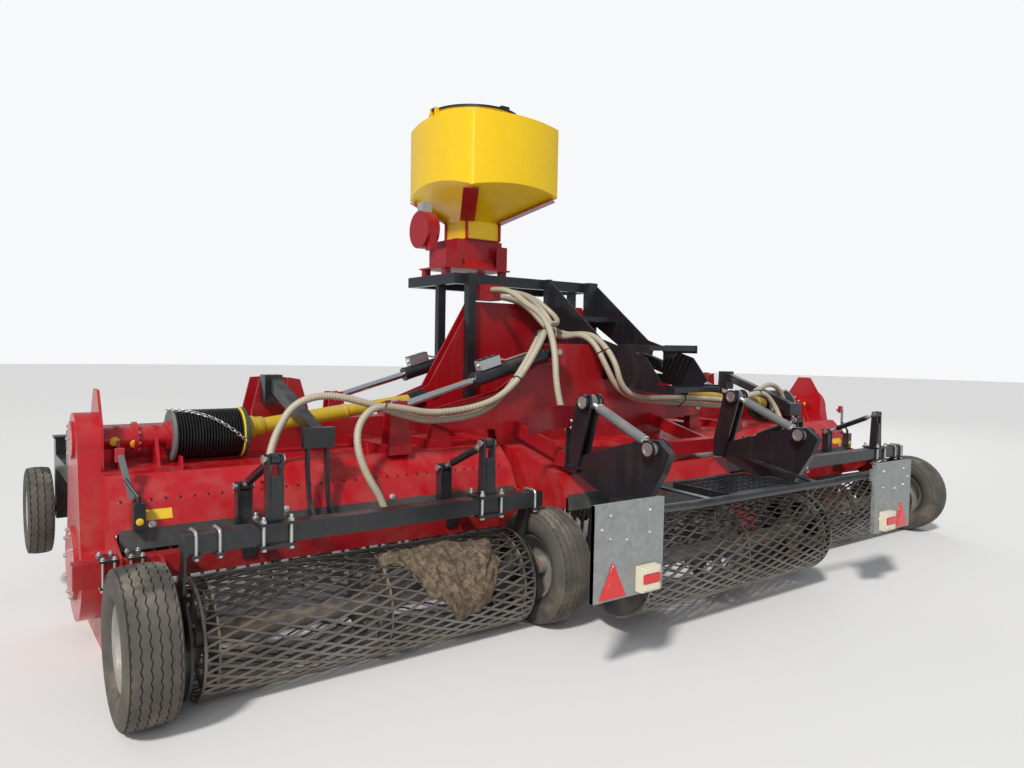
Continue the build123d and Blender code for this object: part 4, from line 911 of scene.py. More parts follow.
@dataclass
class Wheel(Assembly):
    """A tyre with zigzag ribs on a dished rim, with its nuts and hub cap.

    Attributes:
        node: The CAD node that it stands for.
        body: The wheel that it turns with.
        x: Its middle across the machine.
        y: Its axle along Y.
        z: Its axle above the ground.
        out: The way that its nuts look, -1 or 1 along X.
        radius: Its outer radius.
        width: Its width.
        bead: The rim's radius.
        rim: Half the rim's width.
        ribs: The number of ribs.
        waves: The number of zigzags round it.
        circle: The radius that the nuts stand on.
        nuts: The number of nuts.
        nut: Their thread's diameter.
        tread: The tread's share of the width.
        sway: How far the zigzag swings to each side.
        notch: The depth of the notches in the shoulders.
    """

    node: str
    body: str
    x: float
    y: float
    z: float
    out: int
    radius: float = 304.0
    width: float = 205.0
    bead: float = 165.0
    rim: float = 75.0
    ribs: int = 5
    waves: int = 40
    circle: float = 66.0
    nuts: int = 5
    nut: float = 14.0
    tread: float = 0.80
    sway: float = 3.6
    notch: float = 3.0

    def section(self) -> list[tuple[float, float, float]]:
        """Gives the tyre's section from one bead to the other.

        Returns:
            Triples of place across the tyre, radius, and share of the zigzag that the point takes.
        """
        half, bead, radius = self.width / 2, self.bead, self.radius
        wall = [(-0.60, bead + 1), (-0.74, bead + 10), (-0.90, bead + 26), (-0.985, bead + 52),
                (-1.0, bead + 72), (-0.975, bead + 94), (-0.93, radius - 34), (-0.955, radius - 30),
                (-0.93, radius - 20), (-0.86, radius - 8)]
        side = [(share * half, min(reach, radius - 6), 0.0) for share, reach in wall]
        tread_half = half * self.tread
        pitch = 2 * tread_half / self.ribs
        tread = []
        for rib in range(self.ribs):
            left = -tread_half + rib * pitch
            for share, sink in ((0.0, 8.0), (0.06, 0.0), (0.88, 0.0), (0.94, 8.0)):
                across = left + share * pitch
                crown = 6.0 * (across / tread_half) ** 2
                tread.append((across, radius - crown - sink, 1.0))
        return side + tread + [(-x, reach, wave) for x, reach, wave in reversed(side)]

    def build(self, site: Site) -> None:
        """Makes the tyre, the rim and the nuts.

        Args:
            site: Where the machine's drawing stands.
        """
        form = Form(site, RUBBER)
        self.tyre(form)
        form.finish = SILVER
        self.dish(form)
        form.finish = ZINC
        face = (self.x + self.out * 8, self.y, self.z)
        form.bolt_circle(face, self.out, self.circle, self.nuts, self.nut, 18)
        form.piece(self.node + "_dressed", self.body, [self.node], angle=38.0)

    def tyre(self, form: Form) -> None:
        """Adds the tyre with its zigzag grooves.

        Args:
            form: The form that the solids go into.
        """
        section = self.section()
        steps = self.waves * 4
        points = []
        for step in range(steps):
            angle = 2 * math.pi * step / steps
            wave = (0.0, 1.0, 0.0, -1.0)[step % 4] * self.sway
            notch = self.notch if step % 4 == 1 else 0.0
            for across, radius, share in section:
                shoulder = self.tread * self.width / 2 < abs(across) < 0.96 * self.width / 2
                deep = radius - (notch if shoulder else 0.0)
                points.append((self.x + across + wave * share, self.y + deep * math.cos(angle),
                               self.z + deep * math.sin(angle)))
        faces = tube_faces(steps, len(section), closed=True)
        form.add(points, [[a, d, c, b] for a, b, c, d in faces])

    def dish(self, form: Form) -> None:
        """Adds the rim with its well, disc and hub, open to the side of the nuts, and the hub's cap.

        Args:
            form: The form that the solids go into.
        """
        bead, half = self.bead, self.rim
        face = [(half, bead + 3), (half - 5, bead - 5), (half - 16, bead - 11), (half * 0.35, bead - 18),
                (half * 0.15, bead - 32), (half * 0.06, bead - 50), (8, 56), (9, 45), (half * 0.62, 45),
                (half * 0.70, 38), (half * 0.72, 23)]
        back = [(-half * 0.6, 23), (-half * 0.6, 45), (0, 45), (0, 56), (-half * 0.06, bead - 50),
                (-half * 0.10, bead - 32), (16 - half, bead - 18), (5 - half, bead - 8), (-half, bead + 3)]
        middle, axis = (self.x, self.y, self.z), (self.out, 0, 0)
        form.turned(middle, axis, face + back, 48, closed=True)
        form.finish = GREY
        rim = half * 0.72
        form.turned(middle, axis, [(half * 0.5, 26), (rim, 26), (rim + 6, 22), (rim + 8, 4)], 28)


@dataclass
class DriveLine(Assembly):
    """A wing's corrugated boot and guarded drive shaft.

    Attributes:
        side: The wing.
        y: The cross tube's line along Y.
        z: The cross tube's line above the ground.
        outer: The boot's outer end.
        inner: The boot's inner end.
        radius: The boot's outer radius.
        valley: How much lower the boot is between two folds.
        wall: The boot's thickness there.
        folds: The number of its folds.
        lead: The first fold's place from the boot's outer end.
        tail: The last fold's place from its inner end.
        joint_x: The joint at the gearbox, across.
        joint_z: The joint at the gearbox, above the ground.
        reach_x: Where the guard ends in the boot.
        slim: The outer and inner radius of the guard's tube at the gearbox.
        broad: The outer and inner radius of its tube at the boot.
    """

    side: Side
    y: float = DRIVE_Y
    z: float = DRIVE_Z
    outer: float = -2620.0
    inner: float = -2250.0
    radius: float = 128.0
    valley: float = 11.0
    wall: float = 3.0
    folds: int = 23
    lead: float = 14.0
    tail: float = 30.0
    joint_x: float = -1060.0
    joint_z: float = 1150.0
    reach_x: float = -2340.0
    slim: tuple[float, float] = (37.0, 33.0)
    broad: tuple[float, float] = (42.0, 37.5)

    def build(self, site: Site) -> None:
        """Makes the boot, its rings, and the shaft's guard."""
        self.boot(site)
        self.guard(site)

    def boot(self, site: Site) -> None:
        """Adds the corrugated boot with its end rings.

        Args:
            site: Where the machine's drawing stands.
        """
        form = Form(site, BELLOWS, self.side)
        start = (self.outer, self.y, self.z)
        length = self.inner - self.outer
        pitch = (length - self.lead - self.tail) / self.folds
        crest, valley = self.radius, self.radius - self.valley
        outside, inside = [], []
        for fold in range(self.folds):
            x = self.lead + fold * pitch
            outside += [(x, valley), (x + pitch * 0.25, crest), (x + pitch * 0.6, crest)]
            inside += [(x, valley - self.wall), (x + pitch * 0.4, crest - 5)]
        outside.append((self.lead + self.folds * pitch, valley))
        inside.append((self.lead + self.folds * pitch, valley - self.wall))
        form.turned(start, (1, 0, 0), outside + inside[::-1], 48, closed=True)
        last = length - self.tail
        rings = ((GREY, 0.0, 16.0, 130.0, 30.0), (LABEL, last, last + 10, 133.0, 114.0),
                 (GREEN, last + 10, length - 0.5, 131.0, 112.0))
        for finish, left, right, outer, inner in rings:
            form.finish = finish
            section = [(left, outer - 3), (left + 3, outer), (right - 3, outer), (right, outer - 3),
                       (right, inner), (left, inner)]
            form.turned(start, (1, 0, 0), section, 48, closed=True)
        word = self.side.value
        form.piece("drive_boot_" + word, self.side.wing, ["drive_bellows_" + word])

    def guard(self, site: Site) -> None:
        """Adds the drive shaft with its guard's yellow tubes and cone and the black cone at the gearbox.

        Args:
            site: Where the machine's drawing stands.
        """
        form = Form(site, GUARD, self.side)
        joint = Vector((self.joint_x, self.y, self.joint_z))
        end = Vector((self.reach_x, self.y, self.z + 4))
        reach = (end - joint).length
        way = (end - joint).normalized()
        middle = reach * 0.52
        tip = reach - 60
        form.ring(joint, way, (195, middle), *self.slim, 28)
        form.ring(joint, way, (middle - 60, tip), *self.broad, 28)
        collar = [(middle - 64, 42), (middle - 60, 44), (middle - 46, 44), (middle - 42, 42),
                  (middle - 42, 40), (middle - 64, 40)]
        cone = [(reach - 205, 42), (reach - 190, 52), (reach - 150, 54), (reach - 145, 62), (tip, 66),
                (tip, 60), (reach - 150, 40)]
        for section in (collar, cone):
            form.turned(joint, way, section, 28, closed=True)
        form.finish = BELLOWS
        folds = [(100, 56)]
        for fold in range(6):
            x, shrink = 100 + fold * 16, fold * 2.6
            folds += [(x + 3, 61 - shrink), (x + 11, 61 - shrink), (x + 14, 57 - shrink)]
        form.turned(joint, way, folds + [(205, 42), (205, 38), (100, 50)], 32, closed=True)
        form.finish = STEEL
        shaft = [(-30, 8), (-22, 20), (0, 28), (30, 24), (60, 20), (110, 20), (210, 24), (reach, 20)]
        form.turned(joint, way, shaft, 24)
        word = self.side.value
        form.piece("drive_guard_" + word, "pto_" + word, ["pto_guard_" + word])


@dataclass
class Turnbuckle(Assembly):
    """An adjusting strut with threaded ends, eyes, pins and clips.

    Attributes:
        name: The piece's name.
        body: The body that carries it.
        replaces: The node that it stands for.
        places: Pairs of end points for each strut.
        tube: The sleeve's radius.
        thread: The threaded rods' radius.
        pin: The pins' radius.
        cheek: Half the length of a pin.
        pitch: The thread's pitch, drawn coarser than a real one.
        lead: The distance from a pin to the first thread.
        gap: The distance from a pin to the sleeve.
        nut: The locknuts' thickness.
        finish: The sleeve's finish.
        side: The wing that it is for.
    """

    name: str
    body: str
    replaces: str
    places: Sequence[tuple[Point, Point]]
    tube: float = 20.0
    thread: float = 11.0
    pin: float = 12.0
    cheek: float = 46.0
    pitch: float = 7.0
    lead: float = 30.0
    gap: float = 88.0
    nut: float = 14.0
    finish: Finish = BLACK
    side: Side = Side.LEFT

    def build(self, site: Site) -> None:
        """Makes all struts of the node.

        Args:
            site: Where the machine's drawing stands.
        """
        form = Form(site, self.finish, self.side)
        for start, end in self.places:
            self.strut(form, Vector(start), Vector(end))
        form.piece(self.name, self.body, [self.replaces])

    def strut(self, form: Form, start: Vector, end: Vector) -> None:
        """Adds one strut between two pins.

        Args:
            form: The form that the solids go into.
            start: The middle of one pin.
            end: The middle of the other pin.
        """
        way = (end - start).normalized()
        reach = (end - start).length
        form.finish = self.finish
        near, far = self.gap, reach - self.gap
        form.turned(start, way, [(near, self.tube - 4), (near + 4, self.tube), (far - 4, self.tube),
                                 (far, self.tube - 4)])
        form.finish = ZINC
        threads = []
        for index in range(int((reach - 2 * self.lead) / self.pitch)):
            x = self.lead + index * self.pitch
            threads += [(x, self.thread - 1.6), (x + self.pitch / 2, self.thread)]
        form.turned(start, way, threads, 14)
        for x in (near - self.nut, far):
            form.disc(start + way * x, way, (0, self.nut), self.thread * 1.75, 6)
        for place in (start, end):
            self.eye(form, place)

    def eye(self, form: Form, place: Vector) -> None:
        """Adds the eye at a strut's end, its pin with a washer, and the pin's clip.

        Args:
            form: The form that the solids go into.
            place: The middle of the pin.
        """
        axis, pin, cheek = Vector((1, 0, 0)), self.pin, self.cheek
        form.finish = self.finish
        form.turned(place - axis * 20, axis, [(0, pin + 3), (3, pin * 2), (37, pin * 2), (40, pin + 3)])
        form.finish = ZINC
        form.disc(place - axis * cheek, axis, (0, 2 * cheek), pin, 18)
        form.disc(place - axis * (cheek + 4), axis, (0, 5), pin * 1.5, 18)
        clip = []
        for step in range(-4, 9):
            angle = math.radians(30 * step)
            clip.append((place.x + cheek - 6, place.y + math.cos(angle) * (pin + 5),
                         place.z + math.sin(angle) * (pin + 5)))
        form.pipe(clip, 2.5, 8)


@dataclass
class WingFittings(Assembly):
    """The bolts, plates and clamps on a wing.

    Attributes:
        side: The wing.
        left: The hood's outer end.
        right: The hood's inner end.
        bolt_pitch: The spacing of the hood's bolts.
        washers: The places across of the larger bolts below them.
        posts: The struts' places across.
        studs: How far the posts' studs stand from their middles, across and along Y.
        clamps: The U-bolts' places across.
        beam: The beam's lower and upper face.
        shaft: The cross tube's line along Y and above the ground.
        rotor_z: The rotor's axis above the ground.
    """

    side: Side
    left: float = -2940.0
    right: float = -785.0
    bolt_pitch: float = 62.0
    washers: tuple[float, ...] = (-2790.0, -2180.0, -1600.0, -1010.0)
    posts: tuple[float, float] = POSTS
    studs: tuple[float, float] = (58.0, 50.0)
    clamps: tuple[float, ...] = (-2740.0, -2650.0, -1065.0)
    beam: Span = (631.0, 711.0)
    shaft: tuple[float, float] = (DRIVE_Y, DRIVE_Z)
    rotor_z: float = 400.0

    def build(self, site: Site) -> None:
        """Makes the fittings of the hood, the beam and the side case.

        Args:
            site: Where the machine's drawing stands.
        """
        self.hood_bolts(site)
        self.beam_clamps(site)
        self.case_bolts(site)

    def hood_bolts(self, site: Site) -> None:
        """Adds the row of bolts along the hood's fold and the larger ones with washers below it.

        Args:
            site: Where the machine's drawing stands.
        """
        # The bolt heads are red paint in its painted shade tone.
        form = Form(site, SHADED_RED, self.side)
        out = Vector((0, -110, 120)).normalized()
        count = int((self.right - self.left - 60) / self.bolt_pitch)
        for index in range(count + 1):
            x = self.left + 30 + index * self.bolt_pitch
            form.bolt((x, 569, 748), out, 9, washer=False)
        form.finish = ZINC
        back = Vector((0, -120, 60)).normalized()
        for x in self.washers:
            form.turned((x, 513, 646), back, [(-1, 17), (4, 17), (5, 15)], 20)
            form.bolt((x, 511, 648), back, 12)
        form.piece("hood_bolts_" + self.side.value, self.side.wing)

    def beam_clamps(self, site: Site) -> None:
        """Adds the posts' studs, the U-bolts at the beam's ends and the clamp plates.

        Args:
            site: Where the machine's drawing stands.
        """
        form = Form(site, ZINC, self.side)
        low, high = self.beam
        across, along = self.studs
        for post in self.posts:
            for x in (post - across, post + across):
                for y in (-along, along):
                    form.rod((x, y, low - 26), (x, y, high + 40), 8)
                    for z in (high + 12, low - 24):
                        form.disc((x, y, z), (0, 0, 1), (0, 12), 14, 6)
                    form.turned((x, y, high + 24), (0, 0, 1), [(0, 8), (14, 8), (16, 6)], 12)
        leg = [(-48.0, low - 8), (-48.0, high - 10)]
        leg += [(14 * (1 - math.cos(a)) - 48, high - 10 + 18 * math.sin(a)) for a in (0.5, 1.0, 1.57)]
        arch = leg + [(-y, z) for y, z in reversed(leg)]
        for x in self.clamps:
            form.pipe([(x, y, z) for y, z in arch], 7, 10)
            for y in (-48, 48):
                form.disc((x, y, low - 22), (0, 0, 1), (0, 11), 12, 6)
        form.finish = BLACK
        for post in self.posts:
            form.block((post - 76, post + 76), (-66, 66), (high + 0.5, high + 12))
            form.block((post - 76, post + 76), (-66, 66), (low - 12, low - 0.5))
        for x in self.clamps:
            form.block((x - 18, x + 18), (-62, 62), (low - 11, low - 0.5))
        form.piece("beam_clamps_" + self.side.value, self.side.wing, bevel=1.2)

    def case_bolts(self, site: Site) -> None:
        """Adds the bolts round the side case's covers and the cross tube's flanges.

        Args:
            site: Where the machine's drawing stands.
        """
        form = Form(site, ZINC, self.side)
        form.bolt_circle((-3063, self.shaft[0], self.rotor_z), -1, 158, 10, 11)
        form.bolt_circle((-3057, *self.shaft), -1, 74, 6, 9)
        for x, way in ((-2770, 1), (-2620, -1)):
            form.bolt_circle((x, *self.shaft), way, 65, 8, 9, 20)
        form.piece("case_bolts_" + self.side.value, self.side.wing)


Route = tuple[tuple[float, float, float], ...]

# The runs over a wing, which are the same on both sides.
HOOD_RUN: Route = (
    (1330, 590, 1029), (1530, 595, 1085), (1740, 620, 1160), (1930, 650, 1200), (2090, 670, 1155),
    (2180, 660, 1015), (2230, 625, 900), (2250, 600, 815))
TUBE_RUN: Route = (
    (1330, 545, 1078), (1530, 545, 1120), (1700, 540, 1140), (1800, 520, 1050), (1830, 470, 930),
    (1800, 410, 790), (1730, 380, 670), (1700, 375, 575))
CENTRE_ROUTE: Route = (
    (-400, 1330, 1865), (-400, 1200, 1865), (-395, 1060, 1820), (-405, 930, 1755), (-430, 795, 1710),
    (-468, 660, 1655), (-505, 535, 1560), (-530, 460, 1420), (-545, 430, 1265), (-540, 390, 1110),
    (-505, 345, 955), (-450, 305, 805))
LEFT_HOOD_ROUTE: Route = (
    (-330, 1350, 1865), (-190, 1350, 1865), (-55, 1322, 1815), (30, 1260, 1710), (10, 1160, 1627),
    (-110, 1020, 1580), (-270, 880, 1575), (-425, 745, 1560), (-560, 620, 1480), (-680, 590, 1335),
    (-790, 590, 1200), (-970, 590, 1061), *((-x, y, z) for x, y, z in HOOD_RUN))
LEFT_TUBE_ROUTE: Route = (
    (-330, 1396, 1868), (-180, 1396, 1868), (-20, 1358, 1835), (80, 1275, 1735), (60, 1155, 1668),
    (-80, 995, 1628), (-240, 850, 1625), (-395, 715, 1610), (-530, 580, 1530), (-665, 545, 1365),
    (-780, 545, 1230), (-970, 545, 1118), *((-x, y, z) for x, y, z in TUBE_RUN))
RIGHT_HOOD_ROUTE: Route = (
    (-330, 1350, 1818), (-200, 1350, 1818), (-80, 1318, 1750), (-8, 1240, 1632), (8, 1130, 1550),
    (8, 985, 1535), (0, 830, 1560), (5, 695, 1505), (30, 610, 1360), (110, 580, 1200), (270, 580, 1120),
    (520, 580, 1090), (960, 590, 1062), *HOOD_RUN)
RIGHT_TUBE_ROUTE: Route = (
    (-330, 1397, 1820), (-200, 1397, 1820), (-70, 1364, 1760), (20, 1290, 1665), (54, 1180, 1590),
    (58, 1030, 1555), (54, 860, 1565), (52, 715, 1540), (68, 556, 1390), (104, 526, 1206),
    (262, 528, 1126), (540, 535, 1125), (960, 545, 1110), *TUBE_RUN)


@dataclass
class SeedHose(Assembly):
    """A seed hose between the blower's manifold and a socket.

    Attributes:
        name: The piece's name.
        node: The CAD node that it stands for.
        route: The points of its line.
        finish: Its finish.
        side: The wing that it runs to, or None for a hose on the chassis alone.
        radius: Its radius.
        bend: The places across at a wing's fold where a bend would start and end; the hose is not bent.
        bend_z: The height of that bend.
    """

    name: str
    node: str
    route: Route
    finish: Finish = HOSE
    side: Optional[Side] = None
    radius: float = 20.0
    bend: Span = (1000.0, 1330.0)
    bend_z: float = 1060.0

    def build(self, site: Site) -> None:
        """Makes the hose: a chassis hose rides on the chassis, and a wing's hose becomes a mesh on no body.

        Args:
            site: Where the machine's drawing stands.
        """
        thing = self.drawn(site)
        line = self.centreline(thing)
        if self.side is None:
            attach(thing, "chassis")
        else:
            thing = self.meshed(thing)
            level = self.route[-1][1]
            start, end = (site.point((self.side.sign * x, level, self.bend_z)) for x in self.bend)
            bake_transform(thing)
        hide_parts(self.node)
        2 * self.radius * MILLIMETRE

    def drawn(self, site: Site) -> bpy.types.Object:
        """Draws the hose as a smooth curve along its route.

        Args:
            site: Where the machine's drawing stands.

        Returns:
            The curve's object.
        """
        curve = bpy.data.curves.new(self.name, "CURVE")
        curve.dimensions = "3D"
        spline = curve.splines.new("NURBS")
        spline.points.add(len(self.route) - 1)
        for point, place in zip(spline.points, self.route):
            point.co = (*site.point(place), 1.0)
        spline.order_u = 3
        spline.use_endpoint_u = True
        curve.resolution_u = 8
        curve.bevel_depth = self.radius * MILLIMETRE
        curve.bevel_resolution = 3
        curve.use_fill_caps = True
        curve.materials.append(self.finish.material())
        thing = bpy.data.objects.new(self.name, curve)
        bpy.context.scene.collection.objects.link(thing)
        return thing

    def centreline(self, thing: bpy.types.Object) -> list[Vector]:
        """Gives the points of the curve's own line.

        Args:
            thing: The hose's curve.

        Returns:
            The line's points, in metres.
        """
        thing.data.bevel_depth = 0.0
        bpy.context.view_layer.update()
        mesh = bpy.data.meshes.new_from_object(thing)
        line = [vertex.co.copy() for vertex in mesh.vertices]
        bpy.data.meshes.remove(mesh)
        thing.data.bevel_depth = self.radius * MILLIMETRE
        bpy.context.view_layer.update()
        return line

    def meshed(self, thing: bpy.types.Object) -> bpy.types.Object:
        """Turns the curve into a mesh.

        Args:
            thing: The hose's curve.

        Returns:
            The mesh's object.
        """
        mesh = bpy.data.meshes.new_from_object(thing)
        mesh.name = self.name
        bpy.data.objects.remove(thing)
        solid = bpy.data.objects.new(self.name, mesh)
        bpy.context.scene.collection.objects.link(solid)
        return solid


@dataclass
class HoseTies(Assembly):
    """The black straps that hold a wing's two hoses together.

    Attributes:
        side: The wing.
        hood: The route of the hood's hose.
        tube: The route of the tube's hose.
        chassis: The runs of the routes that have a strap on the chassis.
        wing: The runs that have one on the wing.
    """

    side: Side
    hood: Route
    tube: Route
    chassis: Sequence[int]
    wing: Sequence[int]

    def build(self, site: Site) -> None:
        """Makes the straps on the chassis and those on the wing.

        Args:
            site: Where the machine's drawing stands.
        """
        word = self.side.value
        for kind, body, runs in (("chassis", "chassis", self.chassis), ("wing", self.side.wing, self.wing)):
            form = Form(site, BELLOWS)
            for run in runs:
                self.strap(form, run)
            form.piece(f"hose_ties_{kind}_{word}", body)

    def strap(self, form: Form, run: int) -> None:
        """Adds one strap round the two hoses, at the middle of a run of their routes.

        Args:
            form: The form that the solids go into.
            run: The number of the routes' point where the run starts.
        """
        start, end = Vector(self.hood[run]), Vector(self.hood[run + 1])
        first = (start + end) / 2
        second = (Vector(self.tube[run]) + Vector(self.tube[run + 1])) / 2
        along = (end - start).normalized()
        apart = second - first
        apart = (apart - along * apart.dot(along)).normalized()
        second = first + apart * (second - first).dot(apart)
        other = along.cross(apart)
        loop = []
        for middle, turn in ((first, 0.5), (second, -0.5)):
            for step in range(9):
                angle = math.pi * (turn + step / 8)
                loop.append(middle + (apart * math.cos(angle) + other * math.sin(angle)) * 23)
        form.pipe(loop + [loop[0]], 4, 8)


@dataclass
class Crank(Assembly):
    """The crank, its box, and the clamps, plates and discs at a wing's outer end.

    Attributes:
        side: The wing.
        arm: The upper and the lower end of the crank's arm.
        box_x: The box's line across.
        clamp_x: The places across of the clamps over the outer tyre.
        clamp_y: Their plates along Y.
        clamp_z: Their upper and their lower plate above the ground.
        bolts_y: The places along Y of their bolts.
    """

    side: Side
    arm: tuple[Point, Point] = ((-2905.0, 570.0, 955.0), (-2865.0, 548.0, 762.0))
    box_x: float = -2850.0
    clamp_x: tuple[float, float] = (-2990.0, -2885.0)
    clamp_y: Span = (318.0, 432.0)
    clamp_z: tuple[Span, Span] = ((550.5, 561.0), (438.0, 449.5))
    bolts_y: tuple[float, float] = (325.0, 425.0)

    def build(self, site: Site) -> None:
        """Makes the crank, the clamps and the discs.

        Args:
            site: Where the machine's drawing stands.
        """
        form = Form(site, GREY, self.side)
        self.crank(form)
        self.clamps(form)
        self.plates(form)
        form.piece("crank_" + self.side.value, self.side.wing, bevel=1.2)

    def crank(self, form: Form) -> None:
        """Adds the crank's arm, handle and box, and the red block beside the handle.

        Args:
            form: The form that the solids go into.
        """
        x = self.box_x
        form.bar(*self.arm, 26, 9)
        form.rod((-2905, 566, 948), (-2905, 620, 948), 11)
        form.finish = BLACK
        form.block((x - 25, x + 25), (455, 510), (640, 755))
        form.rod((x, 482, 750), (x, 482, 782), 10)
        form.rod((x, 482, 778), (x - 40, 560, 850), 8)
        form.finish = RED
        form.block((-2925, -2888), (575, 600), (925, 985))

    def clamps(self, form: Form) -> None:
        """Adds the clamps' plates and bolts.

        Args:
            form: The form that the solids go into.
        """
        form.finish = BLACK
        for x in self.clamp_x:
            for height in self.clamp_z:
                form.block((x - 34, x + 34), self.clamp_y, height)
        form.finish = ZINC
        low, high = self.clamp_z[1][0], self.clamp_z[0][1]
        for x in [middle + step for middle in self.clamp_x for step in (-22, 22)]:
            for y in self.bolts_y:
                form.rod((x, y, low - 10), (x, y, high + 13), 6)
                form.bolt((x, y, high), (0, 0, 1), 11)
                form.bolt((x, y, low), (0, 0, -1), 11)

    def plates(self, form: Form) -> None:
        """Adds the two yellow discs on the cross tube, the one on the box and the blank strip.

        Args:
            form: The form that the solids go into.
        """
        form.finish = LABEL
        for x, y, z, lean in ((-2875, 927.0, 975.0, -0.12), (-2785, 931.5, 957.0, -0.45)):
            form.turned((x, y, z), (0, -1, lean), [(-4, 22), (2.5, 22), (3.5, 20)], 28)
        form.turned((self.box_x, 456, 675), (0, -1, 0), [(0, 16), (3, 16), (4, 14)], 24)
        strip = [(-2838, 521.6, 663.2), (-2702, 521.6, 663.2), (-2702, 543.2, 706.4),
                 (-2838, 543.2, 706.4)]
        form.prism(strip, (0, -1.8, 0.9))


@dataclass
class ValveBlocks(Assembly):
    """The bright valve blocks and rigid oil pipes on a wing's two fold cylinders.

    Attributes:
        side: The wing.
        base: The base pin's place across and above the ground.
        eye: The rod pin's place across and above the ground.
        rows: The cylinders' places along Y.
        at: The block's place along the cylinder.
        lift: The block's height over the cylinder's axis.
        half: Half the block's length.
        pipe: The pipe's line as pairs of distance back from the block and downward.
        rings: The black rings' places along the cylinder.
    """

    side: Side
    base: Span = (350.0, 1436.0)
    eye: Span = (1490.0, 1110.0)
    rows: tuple[float, float] = (690.0, 1568.0)
    at: float = 520.0
    lift: float = 74.0
    half: float = 75.5
    pipe: tuple[Span, ...] = ((0, 0), (22, 6), (50, 19), (120, 21), (210, 21), (232, 30))
    rings: tuple[float, float] = (96.0, 636.0)

    def build(self, site: Site) -> None:
        """Makes the blocks and pipes. The right wing's rear cylinder has no pipe, for the stairs are close.

        Args:
            site: Where the machine's drawing stands.
        """
        form = Form(site, BLOCK, self.side)
        way = Vector((self.base[0] - self.eye[0], 0, self.eye[1] - self.base[1])).normalized()
        up = Vector((way.z, 0, -way.x))
        for y in self.rows:
            foot = Vector((-self.base[0], y, self.base[1]))
            middle = foot + way * self.at + up * self.lift
            form.finish = BLOCK
            form.bar(middle - way * self.half, middle + way * self.half, 60.8, 60)
            for share in (-48, 0, 48):
                form.turned(middle + way * share + up * 29, up, [(0, 13), (5, 13), (6, 9)], 6)
            for end in (-1, 1):
                form.turned(middle + way * (76 * end), way * end, [(0, 13), (6, 13), (7, 9), (9, 9)], 16)
            if self.side is Side.RIGHT and y == self.rows[0]:
                continue
            form.finish = ZINC
            start = middle - way * 80
            form.pipe(smooth_line([start - way * back - up * down for back, down in self.pipe]), 6, 10)
            form.finish = BLACK
            for along in self.rings:
                form.turned(foot + way * along, way, [(0, 45.5), (1.5, 47.5), (14, 47.5), (15.5, 45.5)], 32)
        form.piece("valve_blocks_" + self.side.value, "barrels_" + self.side.value, bevel=1.5)


@dataclass
class CarrierRings(Assembly):
    """The ringed bosses on the centre roller's carrier pins.

    Attributes:
        pins: The pins' places along Y and above the ground.
        plates: The places across of the faces that they stand on.
    """

    pins: tuple[Span, Span] = ((5.0, 1165.0), (-490.0, 965.0))
    plates: tuple[float, float] = (585.0, 705.0)

    def build(self, site: Site) -> None:
        """Makes the rings.

        Args:
            site: Where the machine's drawing stands.
        """
        form = Form(site, BLACK)
        for side in (-1, 1):
            for y, z in self.pins:
                for face, way in zip(self.plates, (-side, side)):
                    for finish, end, outer in ((BLACK, 3, 44), (ZINC, 6, 34)):
                        form.finish = finish
                        form.ring((side * face, y, z), (way, 0, 0), (-6, end), outer, outer - 10, 32)
        form.piece("carrier_rings", "chassis")


@dataclass
class CentrePlate(Assembly):
    """The blank arched plate that stands on the centre frame's beam.

    Attributes:
        left: Its left end.
        right: Its right end.
        low: Its lower edge at the ends.
        high: Its upper edge at the ends.
        rise: How much its middle stands above its ends.
        face_y: The beam's rear face.
        foot: The leg's places across.
        leg: Its lower and upper end.
    """

    left: float = -975.0
    right: float = -520.0
    low: float = 978.0
    high: float = 1108.0
    rise: float = 34.0
    face_y: float = 150.0
    foot: Span = (-698.0, -636.0)
    leg: Span = (805.0, 1060.0)

    def build(self, site: Site) -> None:
        """Makes the plate, its leg and the bolts.

        Args:
            site: Where the machine's drawing stands.
        """
        # The plate is red paint in its painted shade tone.
        form = Form(site, SHADED_RED)
        steps = 16
        outline = []
        for height, order in ((self.low, range(steps + 1)), (self.high, range(steps, -1, -1))):
            for step in order:
                share = step / steps
                bow = self.rise * math.sin(math.pi * share)
                outline.append((self.left + (self.right - self.left) * share, height + bow))
        form.along((self.face_y - 14, self.face_y - 8), outline)
        form.finish = BLACK
        form.block(self.foot, (self.face_y - 8, self.face_y - 0.5), self.leg)
        form.finish = ZINC
        middle = sum(self.foot) / 2
        for z, lift, size in ((825, 8, 12), (858, 8, 12), (1010, 14, 10), (1050, 14, 10)):
            form.bolt((middle, self.face_y - lift, z), (0, -1, 0), size)
        form.piece("centre_blank_plate", "chassis", bevel=1.5)


@dataclass
class SeederFittings(Assembly):
    """The control box on the seeder.

    Attributes:
        box_x: The box across.
        box_y: The box along Y.
        box_z: The box above the ground.
    """

    box_x: Span = (-652.0, -573.0)
    box_y: Span = (1898.0, 1982.0)
    box_z: Span = (2460.0, 2537.0)

    def build(self, site: Site) -> None:
        """Makes the box, its lid and the three glands under it.

        Args:
            site: Where the machine's drawing stands.
        """
        form = Form(site, PALE_GREY)
        form.block(self.box_x, self.box_y, self.box_z)
        form.block((self.box_x[0] - 5, self.box_x[0]), (self.box_y[0] + 6, self.box_y[1] - 6),
                   (self.box_z[0] + 6, self.box_z[1] - 6))
        form.finish = BLACK
        for inset in (18, 42, 66):
            place = (sum(self.box_x) / 2, self.box_y[0] + inset, self.box_z[0])
            form.turned(place, (0, 0, -1), [(-2, 10), (8, 10), (9, 7), (16, 7)], 12)
        form.piece("seeder_control_box", "chassis", bevel=2.0)


